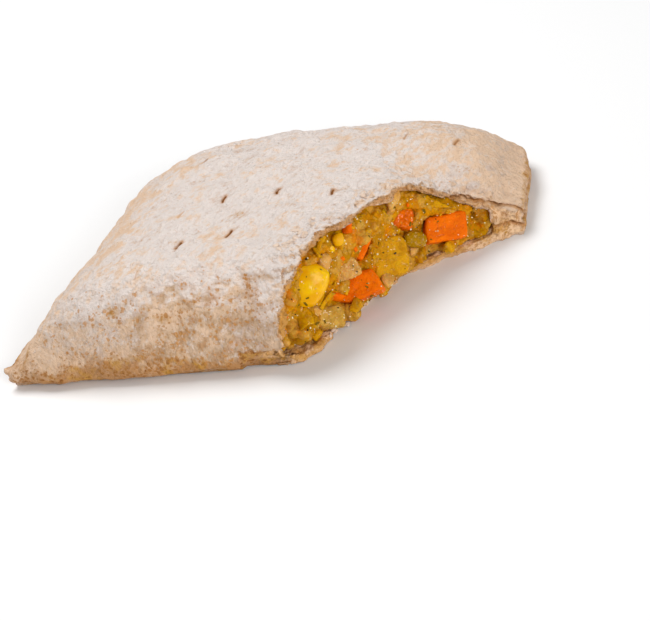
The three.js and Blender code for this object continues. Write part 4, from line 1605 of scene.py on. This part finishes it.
class PATTY_OT_bits(bpy.types.Operator):
    """Lay the crumbs, shreds, herb flecks and pepper specks on the filling"""

    bl_idname = "patty.bits"
    bl_label = "Small Bits"

    def execute(self, context):
        settings = context.scene.patty_filling
        draw = random.Random(settings.scatter_seed)
        mash = Front("mash")
        crumb = crumb_pattern()
        cut = cut_pattern()
        leaf = sheet_pattern(4, 3, 0.16)
        strand = sheet_pattern(9, 2, 0.5)

        onion = mash.strew(draw, 9, (1.8, 3.8), 0.5, 0.62) + [mash.lie(*bit) for bit in ONION_BITS]
        potato = mash.strew(draw, 14, (1.2, 3.2), 0.6, 0.62) + [mash.lie(*bit) for bit in POTATO_BITS]
        carrot = mash.strew(draw, 7, (0.6, 1.5), 0.6, 0.5) + [mash.lie(*bit) for bit in CARROT_BITS]
        corn = mash.strew(draw, 3, (0.8, 1.5), 0.6, 0.5) + [mash.lie(*bit) for bit in SWEETCORN_BITS]
        shreds = [mash.lie(*bit) for bit in CABBAGE_SHREDS]
        for spot in mash.strew(draw, 10, (2.2, 5), 1, 0):
            shape = (spot.size[0], draw.uniform(0.5, 1.1), draw.uniform(0.7, 1.1))
            shreds.append(spot._replace(size=shape, sink=0.15))
        parts = (
            ("onion_bits", copies(crumb, onion, draw, 0.6, curl=0.15), settings.onion, 0.4),
            ("potato_crumbs", copies(cut, potato, draw, 0.6), settings.potato, 0.3),
            ("cabbage_shreds", copies(strand, shreds, draw, 0.3, curl=0.12, bow=0.25), settings.cabbage, 0.3),
        )
        for name, shapes, tint, soft in parts:
            finish = soft_finish(settings, name.replace("_", " ").title(), tint, 0, 0.3, soft)
            hand_over(joined(name, shapes), finish, "filling")
        crumbs = joined("carrot_crumbs", copies(cut, carrot, draw, 0.45))
        hand_over(crumbs, carrot_finish(settings, "Carrot Crumbs", 0.1), "filling")
        crumbs = joined("sweetcorn_crumbs", copies(crumb, corn, draw, 0.35))
        hand_over(crumbs, sweetcorn_finish(settings, "Sweetcorn Crumbs"), "filling")

        food = Front("mash", *WHOLE_PIECES, "onion_bits", "potato_crumbs")
        herbs = food.strew(draw, 46, (0.5, 1.3), 1, 0)
        herbs = [spot._replace(size=(spot.size[0], spot.size[1] * 0.6, 1), sink=-0.03) for spot in herbs]
        pepper = food.strew(draw, 40, (0.22, 0.5), 0.8, 0.3) + [food.lie(*bit) for bit in PEPPER_SPECKS]
        flecks = joined("herb_flecks", copies(leaf, herbs, draw, 0.5, curl=0.2))
        hand_over(flecks, speck_finish("Herb Flecks", settings.herb), "filling")
        specks = joined("pepper_specks", copies(crumb, pepper, draw, 0.6))
        hand_over(specks, speck_finish("Pepper Specks", settings.pepper), "filling")
        # Painted highlight: fine near-white glossy beads strewn over the food stand for its wet glints
        drops = food.strew(draw, 240, (0.2, 0.56), 0.7, 0.2)
        beads = joined("wet_specks", copies(crumb, drops, draw, 0.6))
        hand_over(beads, glint_speck_finish(settings), "filling")
        return {"FINISHED"}


def glint_speck_finish(settings):
    """Small glossy beads, near-white as a painted highlight that stands for the glints of the wet food."""
    finish = Finish("Wet Specks")
    base = finish.mix(finish.grain(1.5, 2).fade(0.45, 0.65) * 0.7, settings.drop, settings.pale)
    return finish.surface(
        {
            "Base Color": base,
            "Roughness": 0.12,
            "Specular IOR Level": 1.0,
            "Subsurface Weight": 0.3,
            "Subsurface Scale": MM,
        }
    )


def speck_finish(name, tint):
    """Dark flecks, paler in parts."""
    finish = Finish(name)
    pale = tuple(min(c * 2.2 + 0.01, 1) for c in tint)
    base = finish.mix(finish.grain(0.3, 2).fade(0.45, 0.7) * 0.6, tint, pale)
    return moist(finish, base, finish.grain(0.15, 2), 0.1, soft=0)


# Stage


def photo_camera():
    """The photograph's camera, its axis through the middle of the picture."""
    yaw, height = VIEW_YAW, VIEW_HEIGHT
    back = Vector((math.sin(yaw) * math.cos(height), -math.cos(yaw) * math.cos(height), math.sin(height)))
    level = Vector((math.cos(yaw), math.sin(yaw), 0))
    upright = back.cross(level)
    right = level * math.cos(VIEW_ROLL) + upright * math.sin(VIEW_ROLL)
    up = upright * math.cos(VIEW_ROLL) - level * math.sin(VIEW_ROLL)
    place = (VIEW_TARGET + PLAN_ORIGIN + back * VIEW_DISTANCE) * MM
    across = (PICTURE[0] / 2 - TARGET_PIXEL[0]) / FOCAL_PIXELS
    down = (TARGET_PIXEL[1] - PICTURE[1] / 2) / FOCAL_PIXELS
    ahead = (right * across + up * down - back).normalized()
    side = ahead.cross(up).normalized()
    top = side.cross(ahead)
    turn = Matrix((side, top, -ahead)).transposed()
    data = bpy.data.cameras.new("Camera")
    data.sensor_width = SENSOR
    data.lens = FOCAL_PIXELS / PICTURE[0] * SENSOR
    data.clip_start = 0.01
    camera = bpy.data.objects.new("Camera", data)
    bpy.context.scene.collection.objects.link(camera)
    camera.matrix_world = Matrix.Translation(place) @ turn.to_4x4()
    bpy.context.scene.camera = camera
    return camera


def soft_light(name, place, aim, size, power):
    """A round area light at a place, turned to what it aims at."""
    deselect()
    bpy.ops.object.light_add(type="AREA", location=place)
    light = bpy.context.object
    light.name = name
    light.data.shape = "DISK"
    light.data.size = size
    light.data.energy = power
    light.rotation_euler = (Vector(aim) - Vector(place)).to_track_quat("-Z", "Y").to_euler()
    return light


class PATTY_OT_stage(bpy.types.Operator):
    """Set up the floor, the lights and the camera"""

    bl_idname = "patty.stage"
    bl_label = "Floor, Lights and Camera"

    def execute(self, context):
        settings = context.scene.patty_stage
        deselect()
        bpy.ops.mesh.primitive_plane_add(size=FLOOR_WIDTH)
        floor = bpy.context.object
        floor.name = "floor"
        finish = Finish("Floor")
        shade = finish.mix(finish.grain(400, 2) * 0.04, settings.floor, (0.8, 0.8, 0.8))
        floor.data.materials.append(finish.surface({"Base Color": shade, "Roughness": 0.9}))
        for name, (place, aim, width) in LIGHTS.items():
            soft_light(name.title(), place, aim, width, getattr(settings, name))
        world = bpy.data.worlds.new("World")
        world.use_nodes = True
        background = world.node_tree.nodes["Background"]
        background.inputs["Color"].default_value = (1, 1, 1, 1)
        background.inputs["Strength"].default_value = settings.sky
        context.scene.world = world
        context.scene.view_settings.view_transform = "Standard"
        photo_camera()
        return {"FINISHED"}


class PATTY_PT_panel(bpy.types.Panel):
    """The patty's pieces in the sidebar"""

    bl_idname = "PATTY_PT_panel"
    bl_label = "Patty"
    bl_space_type = "VIEW_3D"
    bl_region_type = "UI"
    bl_category = "Patty"

    def draw(self, context):
        for operator in OPERATORS:
            self.layout.operator(operator.bl_idname)
        for name in ("patty_pastry", "patty_filling", "patty_stage"):
            group = getattr(context.scene, name)
            box = self.layout.box()
            for prop in group.__annotations__:
                box.prop(group, prop)


OPERATORS = (
    PATTY_OT_crust,
    PATTY_OT_filling,
    PATTY_OT_sweetcorn,
    PATTY_OT_carrots,
    PATTY_OT_potatoes,
    PATTY_OT_greens,
    PATTY_OT_bits,
    PATTY_OT_flakes,
    PATTY_OT_stage,
)
SETTINGS = (
    ("patty_pastry", PastrySettings),
    ("patty_filling", FillingSettings),
    ("patty_stage", StageSettings),
)


def register():
    for name, group in SETTINGS:
        bpy.utils.register_class(group)
        setattr(bpy.types.Scene, name, PointerProperty(type=group))
    for operator in OPERATORS:
        bpy.utils.register_class(operator)
    bpy.utils.register_class(PATTY_PT_panel)


def unregister():
    bpy.utils.unregister_class(PATTY_PT_panel)
    for operator in reversed(OPERATORS):
        bpy.utils.unregister_class(operator)
    for name, group in reversed(SETTINGS):
        delattr(bpy.types.Scene, name)
        bpy.utils.unregister_class(group)


def main():
    register()
    bpy.ops.patty.crust()
    bpy.ops.patty.filling()
    bpy.ops.patty.sweetcorn()
    bpy.ops.patty.carrots()
    bpy.ops.patty.potatoes()
    bpy.ops.patty.greens()
    bpy.ops.patty.bits()
    bpy.ops.patty.flakes()
    bpy.ops.patty.stage()


if __name__ == "__main__":
    main()
